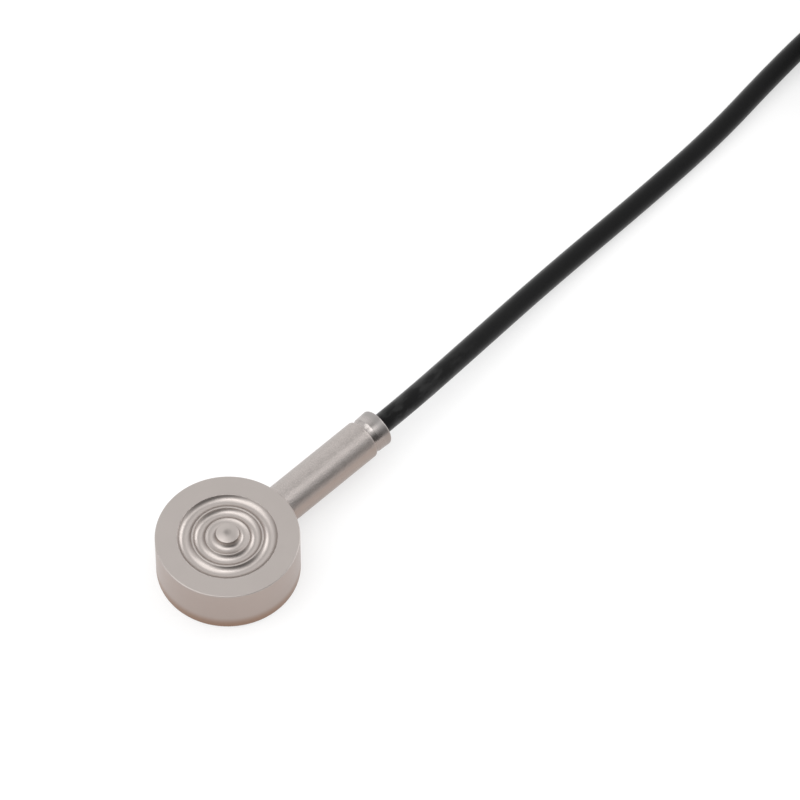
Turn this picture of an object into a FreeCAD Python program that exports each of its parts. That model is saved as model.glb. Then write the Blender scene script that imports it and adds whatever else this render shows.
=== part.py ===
import FreeCAD, Part

import math
import os
import re

import Sketcher
from FreeCAD import Placement, Rotation, Vector

# Miniature compression load cell. A stainless disc, turned in one piece with its corrugated
# diaphragm and load button, carries a radial cable gland. Four strain gauges sit under the
# diaphragm, a ring-shaped terminal board closes the bridge, and a thin lid shuts the underside.
#
# Frame: millimetres, origin at the centre of the base, +Z along the load, +X along the gland.

# Driving sizes: name, number, what it is
SIZES = [
    ("body_diameter", 20.0, "disc across the rim"),
    ("body_height", 7.55, "base to rim plane"),
    ("top_edge_radius", 0.12, "round of the rim's upper edge"),
    ("bottom_edge_radius", 0.35, "round of the base's outer edge"),
    ("groove_outer_diameter", 13.79, "outer edge of the outer groove"),
    ("outer_crest_diameter", 9.74, "crest between outer and middle groove"),
    ("inner_crest_diameter", 6.03, "crest between middle and inner groove"),
    ("outer_crest_land", 0.22, "flat width left on the outer crest"),
    ("inner_crest_land", 0.12, "flat width left on the inner crest"),
    ("outer_groove_depth", 0.58, "below the rim plane"),
    ("middle_groove_depth", 0.56, "below the rim plane"),
    ("dish_depth", 0.12, "shallow dish round the button, below the rim plane"),
    ("button_foot_radius", 0.75, "hollow round from the dish up into the button"),
    ("button_diameter", 3.26, "load button across its edge"),
    ("button_height", 0.85, "rim plane to the button's edge"),
    ("button_edge_radius", 0.1, "round of the button's edge"),
    ("dome_rise", 0.2, "button's edge to the top of its dome"),
    ("centre_mark_diameter", 0.64, "turning centre on the dome"),
    ("centre_mark_depth", 0.1, "depth of the turning centre"),
    ("web_thickness", 1.5, "rim plane to the diaphragm's underside"),
    ("base_ring_width", 1.3, "rim to the recess that takes the base cover"),
    ("cover_ledge_width", 1.0, "ledge that the base cover lies against"),
    ("board_ledge_width", 0.5, "ledge that the terminal board lies against"),
    ("board_shelf_height", 2.4, "base to the shelf over the board"),
    ("cover_seat_depth", 0.6, "base to the cover's seat"),
    ("cover_thickness", 0.45, "lid of the underside"),
    ("board_thickness", 0.8, "terminal board"),
    ("board_ring_width", 4.5, "board's edge to the hole in its middle"),
    ("fit_clearance", 0.02, "radial gap between pieces that are pushed together"),
    ("tube_wall", 0.52, "wall of the gland tube"),
    ("tube_length", 16.1, "gland tube beyond the rim"),
    ("tube_top_drop", 0.07, "rim plane down to the tube's top line"),
    ("tube_end_radius", 0.3, "round of the tube's outer end"),
    ("tube_web", 1.3, "closed end of the tube, measured from the rim"),
    ("saddle_margin", 0.2, "barrel's blank end inside the rim, trimmed to a saddle"),
    ("spigot_wall", 0.55, "wall of the tube's spigot in the disc"),
    ("spigot_depth", 2.0, "depth of the counterbore for the spigot"),
    ("passage_clearance", 0.41, "cores to the wall of their passage"),
    ("bore_run_in", 0.3, "passage starts this far inside the chamber wall"),
    ("collar_length", 2.9, "collar beyond the tube"),
    ("collar_neck_drop", 0.42, "tube's outside down to the collar's neck"),
    ("collar_cove_length", 0.85, "neck to shoulder along the collar"),
    ("collar_cove_hollow", 0.03, "hollow of the cove between neck and shoulder"),
    ("collar_shoulder_drop", 0.22, "tube's outside down to the collar's shoulder"),
    ("collar_lip_drop", 0.15, "tube's outside down to the collar's lip"),
    ("collar_lip_radius", 0.14, "round of the collar's lip"),
    ("collar_spigot_length", 2.6, "collar's reach into the tube"),
    ("collar_cable_gap", 0.06, "cable to the collar's inside"),
    ("seal_length", 2.8, "rubber bush round the cable"),
    ("clamp_length", 2.6, "crimped ring on the cable"),
    ("clamp_wall", 0.64, "wall of the crimped ring"),
    ("clamp_gap", 0.2, "crimped ring to the tube's inside"),
    ("crimp_depth", 0.16, "each crimp groove"),
    ("potting_gap", 1.3, "resin plug to the end of the screen"),
    ("cable_diameter", 3.08, "cable over its jacket"),
    ("jacket_wall", 0.34, "wall of the jacket"),
    ("jacket_strip", 0.6, "jacket reaches this far past the crimped ring"),
    ("braid_wall", 0.11, "screen under the jacket"),
    ("braid_strip", 0.7, "screen reaches this far past the jacket"),
    ("core_diameter", 0.78, "insulated core"),
    ("core_spacing", 0.92, "between the centres of neighbouring cores"),
    ("pad_length", 1.8, "solder pad along the core"),
    ("pad_width", 0.9, "solder pad across the core"),
    ("pad_thickness", 0.05, "solder pad"),
    ("pad_edge_gap", 1.8, "pads' outer ends to the board's edge"),
    ("pad_spacing", 1.6, "between the pads' centres"),
    ("gauge_length", 2.4, "strain gauge along the radius"),
    ("gauge_width", 1.7, "strain gauge across the radius"),
    ("gauge_thickness", 0.08, "strain gauge with its glue"),
    ("gauge_wall_gap", 1.6, "gauge's outer end to the chamber's wall"),
    ("bridge_wire_diameter", 0.2, "wire from gauge to board"),
    ("bridge_wire_inset", 0.7, "gauge's outer end to its wires"),
    ("bridge_wire_spread", 0.6, "each wire from its gauge's middle line"),
    ("resistor_length", 1.2, "trim resistor"),
    ("resistor_width", 0.6, "trim resistor"),
    ("resistor_height", 0.4, "trim resistor"),
    ("resistor_edge_gap", 2.3, "trim resistors to the board's edge"),
    ("upper_core_turn", 1.2, "chamber's wall to where the upper cores turn down"),
    ("lower_core_turn", 0.25, "chamber's wall to where the lower cores turn down"),
    ("hank_start", 135.0, "disc axis to the hank's near fold centre"),
    ("hank_side", 6.0, "hank's middle line, to the right of the gland's axis"),
    ("hank_run", 62.0, "straight run between the folds"),
    ("inner_fold_radius", 9.3, "inner turns at the folds"),
    ("strand_gap", 0.02, "between neighbouring turns"),
    ("hank_layers", 4.0, "turns on each other"),
    ("hank_edge_radius", 1.5, "round of the hank's outline"),
    ("tie_thickness", 0.8, "strap round the hank"),
    ("tie_width", 2.6, "strap round the hank"),
    ("tie_head", 3.4, "side of the strap's lock"),
    ("tie_head_depth", 2.2, "depth of the strap's lock"),
    ("screen_wire_diameter", 0.5, "screen twisted to a wire"),
    ("tip_diameter", 0.42, "tinned end of a free core"),
    ("tip_length", 4.0, "tinned end of a free core"),
]
ALIASES = {alias for alias, _, _ in SIZES}

doc = FreeCAD.newDocument("LoadCell")
sizes = doc.addObject("Spreadsheet::Sheet", "Sizes")
for row, (alias, number, meaning) in enumerate(SIZES, start=1):
    sizes.set(f"A{row}", meaning)
    sizes.set(f"B{row}", str(number))
    sizes.setAlias(f"B{row}", alias)
doc.recompute()

# Places worked out from the sizes, as expressions in their names
BODY_RADIUS = "(body_diameter / 2)"
COVER_SEAT_RADIUS = f"({BODY_RADIUS} - base_ring_width)"
BOARD_SEAT_RADIUS = f"({COVER_SEAT_RADIUS} - cover_ledge_width)"
CHAMBER_RADIUS = f"({BOARD_SEAT_RADIUS} - board_ledge_width)"
PAD_RADIUS = f"({BOARD_SEAT_RADIUS} - pad_edge_gap - pad_length)"
GAUGE_END_RADIUS = f"({CHAMBER_RADIUS} - gauge_wall_gap)"
PASSAGE_RADIUS = "(core_spacing / sqrt(2) + core_diameter / 2 + passage_clearance)"
SPIGOT_RADIUS = f"({PASSAGE_RADIUS} + spigot_wall)"
CABLE_RADIUS = "(cable_diameter / 2)"
CLAMP_RADIUS = f"({CABLE_RADIUS} + fit_clearance + clamp_wall)"
TUBE_BORE_RADIUS = f"({CLAMP_RADIUS} + clamp_gap)"
TUBE_RADIUS = f"({TUBE_BORE_RADIUS} + tube_wall)"
JACKET_BORE_RADIUS = f"({CABLE_RADIUS} - jacket_wall)"
SCREEN_RADIUS = f"({JACKET_BORE_RADIUS} - fit_clearance)"
AXIS_HEIGHT = f"(body_height - tube_top_drop - {TUBE_RADIUS})"
WEB_UNDERSIDE = "(body_height - web_thickness)"
TUBE_END = "(body_diameter / 2 + tube_length)"
LIP_END = "(body_diameter / 2 + tube_length + collar_length)"
SEAL_END = "(body_diameter / 2 + tube_length - collar_spigot_length)"
SEAL_START = f"({SEAL_END} - seal_length)"
CLAMP_START = f"({SEAL_START} - clamp_length)"
JACKET_START = f"({CLAMP_START} - jacket_strip)"
BRAID_START = f"({JACKET_START} - braid_strip)"
POTTING_START = "(body_diameter / 2 + tube_web)"
POTTING_END = f"({BRAID_START} - potting_gap)"
PAD_TOP = "(board_shelf_height + pad_thickness)"
# The hank has two columns of turns, so its outline lies one and a half pitches outside the inner turns
STRAND_PITCH = "(cable_diameter + strand_gap)"
OUTER_FOLD_RADIUS = f"(inner_fold_radius + {STRAND_PITCH})"
HANK_HALF_WIDTH = f"(inner_fold_radius + {STRAND_PITCH} * 1.5)"
HANK_HALF_GAP = f"(inner_fold_radius - {STRAND_PITCH} / 2)"
HANK_HEIGHT = f"(hank_layers * {STRAND_PITCH})"
HANK_TOP = f"(tie_thickness + {HANK_HEIGHT})"
FIRST_TURN_HEIGHT = f"(tie_thickness + {STRAND_PITCH} / 2)"


def linked(expression):
    """The expression with each size's name pointing at the sheet."""

    def cell(word):
        return f"Sizes.{word[0]}" if word[0] in ALIASES else word[0]

    return re.sub(r"[a-z][a-z_]*", cell, expression)


def value(expression):
    """The expression's number, in millimetres or degrees."""
    return float(sizes.evalExpression(linked(expression)))


def bind(thing, field, expression):
    """Ties one field of an object to the sheet."""
    thing.setExpression(field, linked(expression))


def place(thing, across="0", along="0", height="0"):
    """Ties an object's position to the sheet."""
    for letter, expression in zip("xyz", (across, along, height), strict=True):
        bind(thing, f"Placement.Base.{letter}", expression)


def new_part(kind, label):
    """A new document object whose label names its node."""
    thing = doc.addObject(kind, label)
    thing.Label = label
    return thing


def arc_radius(chord, rise):
    """Radius of the arc that stands the given rise above its chord."""
    return f"((({chord})^2 / 4 + ({rise})^2) / (2 * ({rise})))"


def new_sketch(body, name, role, offset=None):
    """A sketch on one of the body's own origin planes, moved along that plane's normal."""
    sketch = body.newObject("Sketcher::SketchObject", name)
    plane = next(feature for feature in body.Origin.OriginFeatures if feature.Role == role)
    sketch.AttachmentSupport = (plane, [""])
    sketch.MapMode = "FlatFace"
    if offset:
        bind(sketch, "AttachmentOffset.Base.z", offset)
    return sketch


def pin_point(sketch, edge, end, across, up):
    """Ties a point of a sketch to its place from the origin."""
    for kind, expression, axis in (("DistanceX", across, -2), ("DistanceY", up, -1)):
        if expression == "0":
            sketch.addConstraint(Sketcher.Constraint("PointOnObject", edge, end, axis))
        else:
            size = Sketcher.Constraint(kind, -1, 1, edge, end, value(expression))
            bind(sketch, f"Constraints[{sketch.addConstraint(size)}]", expression)


def arc_middle(here, there, centre_up):
    """The middle point of the short arc between two corners whose centre lies at the given height."""
    half = (there - here) / 2
    chord_middle = here + half
    square = Vector(-half.y, half.x, 0)
    centre = chord_middle + square * ((centre_up - chord_middle.y) / square.y)
    return centre + (chord_middle - centre).normalize() * (here - centre).Length


def draw_loop(sketch, corners):
    """Draws a closed outline from corners (across, up).

    A third value, the height of a centre, makes an arc of the edge that leads to the next corner.
    """
    spots = [Vector(value(corner[0]), value(corner[1]), 0) for corner in corners]
    loop = []
    for corner, here, there in zip(corners, spots, spots[1:] + spots[:1], strict=True):
        if len(corner) == 2:
            loop.append((sketch.addGeometry(Part.LineSegment(here, there), False), 1, 2))
            continue
        middle = arc_middle(here, there, value(corner[2]))
        edge = sketch.addGeometry(Part.Arc(here, middle, there), False)
        forward = (sketch.getPoint(edge, 1) - here).Length < (sketch.getPoint(edge, 2) - here).Length
        loop.append((edge, 1, 2) if forward else (edge, 2, 1))
        size = Sketcher.Constraint("DistanceY", -1, 1, edge, 3, value(corner[2]))
        bind(sketch, f"Constraints[{sketch.addConstraint(size)}]", corner[2])
    for (edge, start, _), (last_edge, _, last_end) in zip(loop, loop[-1:] + loop[:-1], strict=True):
        sketch.addConstraint(Sketcher.Constraint("Coincident", last_edge, last_end, edge, start))
    for (edge, start, _), corner in zip(loop, corners, strict=True):
        pin_point(sketch, edge, start, corner[0], corner[1])


def draw_circle(sketch, across, up, radius):
    """Draws a circle tied to its centre and radius."""
    centre = Vector(value(across), value(up), 0)
    edge = sketch.addGeometry(Part.Circle(centre, Vector(0, 0, 1), value(radius)), False)
    number = sketch.addConstraint(Sketcher.Constraint("Radius", edge, value(radius)))
    bind(sketch, f"Constraints[{number}]", radius)
    pin_point(sketch, edge, 3, across, up)


def turned(body, name, corners, axis):
    """Turns an outline in the body's XZ plane: axis V_Axis is the upright one and H_Axis the level one."""
    sketch = new_sketch(body, f"{name}_outline", "XZ_Plane")
    draw_loop(sketch, corners)
    turn = body.newObject("PartDesign::Revolution", name)
    turn.Profile = sketch
    turn.ReferenceAxis = (sketch, [axis])
    turn.Angle = 360
    doc.recompute()
    return turn


def drilled(body, name, start, depth, radius):
    """Drills a round hole along +X at the gland's height, from the plane at start."""
    sketch = new_sketch(body, f"{name}_outline", "YZ_Plane", offset=start)
    draw_circle(sketch, "0", AXIS_HEIGHT, radius)
    hole = body.newObject("PartDesign::Pocket", name)
    hole.Profile = sketch
    hole.Type = "Length"
    hole.Reversed = True
    bind(hole, "Length", depth)
    doc.recompute()
    return hole


def sensor_body():
    """The disc with its diaphragm and load button, turned from one bar and drilled for the gland."""
    rim = "body_height"
    button_edge = "(body_height + button_height)"
    button_radius = "(button_diameter / 2)"
    face_radius = "(button_diameter / 2 - button_edge_radius)"
    dome = arc_radius(f"2 * {face_radius}", "dome_rise")
    mark_radius = "(centre_mark_diameter / 2)"
    mark_height = f"({button_edge} + dome_rise - {dome} + sqrt({dome}^2 - {mark_radius}^2))"
    groove_edge = "(groove_outer_diameter / 2)"

    def crest(name):
        middle, half_land = f"{name}_crest_diameter / 2", f"{name}_crest_land / 2"
        return f"({middle} + {half_land})", f"({middle} - {half_land})"

    outer_crest = crest("outer")
    inner_crest = crest("inner")

    def groove(outside, inside, depth):
        return (outside, rim, f"{rim} - {depth} + {arc_radius(f'{outside} - {inside}', depth)}")

    dish = f"({rim} - dish_depth)"
    foot = f"({button_radius} + button_foot_radius)"
    dish_radius = f"((({inner_crest[1]} - {foot})^2 + dish_depth^2) / (2 * dish_depth))"

    body = new_part("PartDesign::Body", "sensor_body")
    turned(
        body,
        "disc",
        [
            ("0", WEB_UNDERSIDE),
            (CHAMBER_RADIUS, WEB_UNDERSIDE),
            (CHAMBER_RADIUS, "board_shelf_height"),
            (BOARD_SEAT_RADIUS, "board_shelf_height"),
            (BOARD_SEAT_RADIUS, "cover_seat_depth"),
            (COVER_SEAT_RADIUS, "cover_seat_depth"),
            (COVER_SEAT_RADIUS, "0"),
            (f"{BODY_RADIUS} - bottom_edge_radius", "0", "bottom_edge_radius"),
            (BODY_RADIUS, "bottom_edge_radius"),
            (BODY_RADIUS, f"{rim} - top_edge_radius", f"{rim} - top_edge_radius"),
            (f"{BODY_RADIUS} - top_edge_radius", rim),
            groove(groove_edge, outer_crest[0], "outer_groove_depth"),
            (outer_crest[0], rim),
            groove(outer_crest[1], inner_crest[0], "middle_groove_depth"),
            (inner_crest[0], rim),
            (inner_crest[1], rim, f"{dish} + {dish_radius}"),
            (foot, dish, f"{dish} + button_foot_radius"),
            (button_radius, f"{dish} + button_foot_radius"),
            (button_radius, f"{button_edge} - button_edge_radius", f"{button_edge} - button_edge_radius"),
            (face_radius, button_edge, f"{button_edge} + dome_rise - {dome}"),
            (mark_radius, mark_height),
            ("0", f"{mark_height} - centre_mark_depth"),
        ],
        "V_Axis",
    )
    before = body.Shape.Volume
    drilled(body, "core_passage", f"{CHAMBER_RADIUS} - bore_run_in", BODY_RADIUS, PASSAGE_RADIUS)
    passage = body.Shape.Volume
    drilled(body, "spigot_seat", f"{BODY_RADIUS} - spigot_depth", BODY_RADIUS, SPIGOT_RADIUS)
    if not before > passage > body.Shape.Volume:
        raise ValueError("the side bores cut nothing")
    return body


def base_cover():
    """Thin lid, pushed into the recess of the base."""
    body = new_part("PartDesign::Body", "base_cover")
    cover_radius = f"({COVER_SEAT_RADIUS} - fit_clearance)"
    face = "cover_seat_depth - cover_thickness"
    turned(
        body,
        "lid",
        [("0", face), (cover_radius, face), (cover_radius, "cover_seat_depth"), ("0", "cover_seat_depth")],
        "V_Axis",
    )
    return body


def terminal_board():
    """Ring-shaped board, glued up against its shelf."""
    body = new_part("PartDesign::Body", "terminal_board")
    edge = f"({BOARD_SEAT_RADIUS} - fit_clearance)"
    opening = f"({BOARD_SEAT_RADIUS} - board_ring_width)"
    face = "board_shelf_height - board_thickness"
    turned(
        body,
        "board",
        [
            (opening, face),
            (edge, face),
            (edge, "board_shelf_height"),
            (opening, "board_shelf_height"),
        ],
        "V_Axis",
    )
    return body


def along_gland(label, name, corners):
    """A piece turned about the gland's axis. Its corners are (distance along X, radius)."""
    body = new_part("PartDesign::Body", label)
    place(body, height=AXIS_HEIGHT)
    turned(body, name, corners, "H_Axis")
    return body


def gland_tube():
    """Stainless tube, trimmed to a saddle on the rim, with a spigot in the disc's side."""
    start = f"(sqrt({BODY_RADIUS}^2 - {TUBE_RADIUS}^2) - saddle_margin)"
    body = along_gland(
        "gland_tube",
        "barrel",
        [
            (start, PASSAGE_RADIUS),
            (start, TUBE_RADIUS),
            (f"{TUBE_END} - tube_end_radius", TUBE_RADIUS, f"{TUBE_RADIUS} - tube_end_radius"),
            (TUBE_END, f"{TUBE_RADIUS} - tube_end_radius"),
            (TUBE_END, TUBE_BORE_RADIUS),
            (POTTING_START, TUBE_BORE_RADIUS),
            (POTTING_START, PASSAGE_RADIUS),
        ],
    )
    barrel_volume = body.Shape.Volume
    sketch = new_sketch(body, "rim_circle", "XY_Plane")
    draw_circle(sketch, "0", "0", BODY_RADIUS)
    saddle = body.newObject("PartDesign::Pocket", "saddle")
    saddle.Profile = sketch
    saddle.Type = "Length"
    saddle.SideType = "Symmetric"
    bind(saddle, "Length", f"4 * {TUBE_RADIUS}")
    doc.recompute()
    if not body.Shape.Volume < barrel_volume:
        raise ValueError("the saddle cut nothing")
    spigot_start = f"{BODY_RADIUS} - spigot_depth"
    spigot_end = f"{BODY_RADIUS} + tube_web / 2"
    spigot_radius = f"{SPIGOT_RADIUS} - fit_clearance"
    turned(
        body,
        "spigot",
        [
            (spigot_start, PASSAGE_RADIUS),
            (spigot_start, spigot_radius),
            (spigot_end, spigot_radius),
            (spigot_end, PASSAGE_RADIUS),
        ],
        "H_Axis",
    )
    return body


def gland_collar():
    """Polished ring in the tube's end, with a cove at its neck and a rounded lip."""
    neck = f"({TUBE_RADIUS} - collar_neck_drop)"
    lip = f"({TUBE_RADIUS} - collar_lip_drop)"
    bore = f"{CABLE_RADIUS} + collar_cable_gap"
    spigot = f"{TUBE_BORE_RADIUS} - fit_clearance"
    shoulder = f"({TUBE_RADIUS} - collar_shoulder_drop)"
    chord = f"sqrt(collar_cove_length^2 + ({shoulder} - {neck})^2)"
    outward = f"({arc_radius(chord, 'collar_cove_hollow')} - collar_cove_hollow)"
    cove_centre = f"({neck} + {shoulder}) / 2 + {outward} * collar_cove_length / {chord}"
    return along_gland(
        "gland_collar",
        "collar",
        [
            (SEAL_END, bore),
            (SEAL_END, spigot),
            (TUBE_END, spigot),
            (TUBE_END, neck, cove_centre),
            (f"{TUBE_END} + collar_cove_length", shoulder),
            (f"{LIP_END} - collar_lip_radius", lip, f"{lip} - collar_lip_radius"),
            (LIP_END, f"{lip} - collar_lip_radius"),
            (LIP_END, bore),
        ],
    )


def gland_sleeve(label, name, start, end, outside, inside):
    """A plain sleeve about the gland's axis."""
    return along_gland(label, name, [(start, inside), (start, outside), (end, outside), (end, inside)])


def cable_clamp():
    """Crimped ring on the cable, with two rolled grooves."""
    inside = f"{CABLE_RADIUS} + fit_clearance"

    def station(share):
        return f"({CLAMP_START} + clamp_length * {share})"

    def crimp(share):
        radius = arc_radius("clamp_length / 5", "crimp_depth")
        return (station(share), CLAMP_RADIUS, f"{CLAMP_RADIUS} - crimp_depth + {radius}")

    return along_gland(
        "cable_clamp",
        "crimped_ring",
        [
            (CLAMP_START, inside),
            (CLAMP_START, CLAMP_RADIUS),
            crimp(0.2),
            (station(0.4), CLAMP_RADIUS),
            crimp(0.6),
            (station(0.8), CLAMP_RADIUS),
            (SEAL_START, CLAMP_RADIUS),
            (SEAL_START, inside),
        ],
    )


def gland_potting():
    """Resin plug in the tube, cast round the four cores."""
    outside = f"{TUBE_BORE_RADIUS} - fit_clearance"
    outline = [
        (POTTING_START, "0"),
        (POTTING_START, outside),
        (POTTING_END, outside),
        (POTTING_END, "0"),
    ]
    body = along_gland("gland_potting", "plug", outline)
    plug_volume = body.Shape.Volume
    sketch = new_sketch(body, "core_circle", "YZ_Plane", offset=f"{POTTING_START} - fit_clearance")
    draw_circle(sketch, "core_spacing / 2", "core_spacing / 2", "core_diameter / 2 + fit_clearance")
    hole = body.newObject("PartDesign::Pocket", "core_hole")
    hole.Profile = sketch
    hole.Type = "Length"
    hole.Reversed = True
    bind(hole, "Length", f"{POTTING_END} - {POTTING_START} + 2 * fit_clearance")
    doc.recompute()
    pattern = body.newObject("PartDesign::PolarPattern", "core_holes")
    pattern.Originals = [hole]
    pattern.Axis = (next(f for f in body.Origin.OriginFeatures if f.Role == "X_Axis"), [""])
    pattern.Angle = 360
    pattern.Occurrences = 4
    body.Tip = pattern
    doc.recompute()
    if not body.Shape.Volume < plug_volume:
        raise ValueError("the core holes cut nothing")
    return body


# An arc takes this share of the shorter of its two runs
ARC_SHARE = 0.45
# A swept bar's volume may differ from section times length by this share
VOLUME_SLACK = 0.002


def rounded_path(points, report=None):
    """Straight runs joined by tangent arcs, each as large as its two runs allow."""
    edges = []
    here = points[0]
    radii = []
    for before, corner, after in zip(points, points[1:], points[2:]):
        into, out = corner - before, after - corner
        half_turn = into.getAngle(out) / 2
        reach = ARC_SHARE * min(into.Length, out.Length)
        radii.append(reach / math.tan(half_turn))
        start = corner - into.normalize() * reach
        end = corner + out.normalize() * reach
        inward = (start + end) / 2 - corner
        to_middle = radii[-1] / math.cos(half_turn) - radii[-1]
        edges.append(Part.LineSegment(here, start).toShape())
        edges.append(Part.Arc(start, corner + inward.normalize() * to_middle, end).toShape())
        here = end
    edges.append(Part.LineSegment(here, points[-1]).toShape())
    if report:
        print(report, "bend radii, mm:", [round(radius, 1) for radius in radii])
    return Part.Wire(edges)


def swept_round(label, points, diameter, report=None):
    """A round bar along a rounded path."""
    path = rounded_path(points, report)
    circle = Part.Circle(points[0], points[1] - points[0], diameter / 2).toShape()
    shape = path.makePipeShell([Part.Wire([circle])], True, True)
    expected = math.pi * diameter**2 / 4 * path.Length
    if abs(shape.Volume - expected) > VOLUME_SLACK * expected:
        raise ValueError(f"{label} has {shape.Volume:.2f} mm3 and should have {expected:.2f}")
    if report:
        print(report, "length, mm:", round(path.Length, 1))
    bar = new_part("Part::Feature", label)
    bar.Shape = shape
    return bar


def bound_box(name, sides, corner):
    """A box tied to its three sides and its lowest corner."""
    box = doc.addObject("Part::Box", name)
    for field, expression in zip(("Length", "Width", "Height"), sides, strict=True):
        bind(box, field, expression)
    place(box, *corner)
    return box


def bound_rod(name, radius, height, corner):
    """An upright rod tied to its radius, its height and the middle of its foot."""
    rod = doc.addObject("Part::Cylinder", name)
    bind(rod, "Radius", radius)
    bind(rod, "Height", height)
    place(rod, *corner)
    return rod


def turned_spot(out, left, angle):
    """A place at a distance out along a radius and to the left of it, as its X and Y."""
    across = f"({out}) * cos({angle}) - ({left}) * sin({angle})"
    along = f"({out}) * sin({angle}) + ({left}) * cos({angle})"
    return across, along


def group(label, members):
    """Like pieces that share one node."""
    thing = new_part("Part::Compound", label)
    thing.Links = members
    return thing


# The four gauges' middle lines, in degrees about the disc's axis
GAUGE_ANGLES = (45, 135, 225, 315)


def strain_gauge(number, angle):
    """One foil gauge, glued under the diaphragm along a radius."""
    gauge = new_part("Part::Box", f"strain_gauge_{number}")
    bind(gauge, "Length", "gauge_length")
    bind(gauge, "Width", "gauge_width")
    bind(gauge, "Height", "gauge_thickness")
    gauge.Placement = Placement(Vector(), Rotation(Vector(0, 0, 1), angle))
    corner = turned_spot(f"{GAUGE_END_RADIUS} - gauge_length", "-gauge_width / 2", angle)
    place(gauge, *corner, f"{WEB_UNDERSIDE} - gauge_thickness")
    return gauge


def bridge_wires():
    """Two fine wires from each gauge down to the board."""
    height = f"{WEB_UNDERSIDE} - gauge_thickness - board_shelf_height"
    out = f"{GAUGE_END_RADIUS} - bridge_wire_inset"
    wires = []
    for angle in GAUGE_ANGLES:
        for side, left in (("right", "-bridge_wire_spread"), ("left", "bridge_wire_spread")):
            foot = (*turned_spot(out, left, angle), "board_shelf_height")
            wires.append(bound_rod(f"bridge_wire_{angle}_{side}", "bridge_wire_diameter / 2", height, foot))
    return group("bridge_wires", wires)


def trim_resistor(number, side):
    """A zero-balance resistor on the board, across from the gland."""
    resistor = new_part("Part::Box", f"trim_resistor_{number}")
    for field, expression in zip(
        ("Length", "Width", "Height"), ("resistor_width", "resistor_length", "resistor_height"), strict=True
    ):
        bind(resistor, field, expression)
    along = "resistor_length / 2" if side > 0 else "-resistor_length * 3 / 2"
    place(resistor, f"resistor_edge_gap - {BOARD_SEAT_RADIUS}", along, "board_shelf_height")
    return resistor


# Each core: its colour, its place in the cable (left and up of the axis) and its pad, counted from
# the middle
CORES = (
    ("red", 1, 1, 0.5),
    ("black", -1, 1, -0.5),
    ("green", 1, -1, 1.5),
    ("white", -1, -1, -1.5),
)
# A core's end lies on its pad between these two shares of the pad's length
CORE_ON_PAD = (0.85, 0.15)


def terminal_pads():
    """Solder pads for the four cores."""
    return group(
        "terminal_pads",
        [
            bound_box(
                f"pad_{colour}",
                ("pad_length", "pad_width", "pad_thickness"),
                (PAD_RADIUS, f"pad_spacing * {count} - pad_width / 2", "board_shelf_height"),
            )
            for colour, _, _, count in CORES
        ],
    )


def core_offset(side, height):
    """Where a core lies beside the cable's middle line, seen along the cable."""
    half = value("core_spacing / 2")
    return half * side, half * height


def core(colour, side, height, count):
    """An insulated core from the cable's exit through the gland to its pad."""
    left, up = core_offset(side, height)
    axis = value(AXIS_HEIGHT)
    turn_down = value(f"{CHAMBER_RADIUS} - {'upper' if height > 0 else 'lower'}_core_turn")
    pad_middle = value(f"pad_spacing * {count}")
    on_pad = value(f"{PAD_TOP} + core_diameter / 2")
    landing, end = (value(f"{PAD_RADIUS} + pad_length * {share}") for share in CORE_ON_PAD)
    return swept_round(
        f"core_{colour}",
        [
            Vector(value(LIP_END), left, axis + up),
            Vector(turn_down, left, axis + up),
            Vector(landing, pad_middle, on_pad),
            Vector(end, pad_middle, on_pad),
        ],
        value("core_diameter"),
    )


# The cable's way from the collar to the hank. It runs straight out of the collar, swings a
# little to the left as it sinks, and rises on to the hank's lowest turn.
EXIT_RUN = 6.5
ROUTE_MIDDLE = [
    (47.5, 0.9, 3.75),
    (65.0, 2.15, 2.2),
    (86.0, 3.15, 1.6),
    (101.0, 4.0, 1.75),
]
ENTRY_STUB = 10.5
ENTRY_RUN = 9.5
# The tail leaves the hank's inner turn into the middle of the hank, at this angle to the runs
TAIL_ANGLE = 14.0
TAIL_STUB = 13.0
TAIL_START_SHIFT = 2.0
TAIL_RUN = 7.0
TAIL_MIDDLE = (165.5, -3.4, 1.75)
TAIL_END = (173.0, -4.5, 1.6)
# The free cores land and lie spread on the surface: each one's colour and place in the cable, and
# the points where it lands, bends and ends
LEADS = (
    ("green", 1, -1, (179.0, -4.0), (186.5, -2.8), (197.0, -2.0)),
    ("white", -1, -1, (179.0, -6.4), (186.0, -8.4), (196.5, -10.2)),
    ("red", 1, 1, (182.5, -4.9), (189.0, -4.5), (195.0, -4.0)),
    ("black", -1, 1, (182.5, -6.4), (189.5, -7.1), (198.0, -7.6)),
)
# The twisted screen leaves the jacket this far above the cable's middle line and lands beyond the cores
SCREEN_RISE = 1.05
SCREEN_MIDDLE = (182.5, -5.6, 1.7)
SCREEN_LANDING = (189.0, -5.8)
SCREEN_END = (196.0, -6.0)
LEAD_EXIT_RUN = 3.5


def cable_run():
    """The cable from the collar to the hank."""
    axis = value(AXIS_HEIGHT)
    exit_x = value(LIP_END)
    entry = Vector(
        value("hank_start") - ENTRY_STUB,
        value(f"{OUTER_FOLD_RADIUS} - hank_side"),
        value(FIRST_TURN_HEIGHT),
    )
    points = [Vector(exit_x, 0, axis), Vector(exit_x + EXIT_RUN, 0, axis)]
    points += [Vector(*spot) for spot in ROUTE_MIDDLE]
    points += [entry - Vector(ENTRY_RUN, 0, 0), entry]
    return swept_round("cable_run", points, value("cable_diameter"), "cable_run")


def slot_corners(shift, radius):
    """A slot with quarter arcs, its lowest corner moved by the same shift both ways."""
    near = f"({shift} + {radius})"
    far = f"({shift} + {radius} + hank_run)"
    tall = f"({shift} + 2 * {radius})"
    middle = f"({shift} + {radius})"
    return [
        (near, shift),
        (far, shift, middle),
        (f"({shift} + 2 * {radius} + hank_run)", middle, middle),
        (far, tall),
        (near, tall, middle),
        (shift, middle, middle),
    ]


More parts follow.
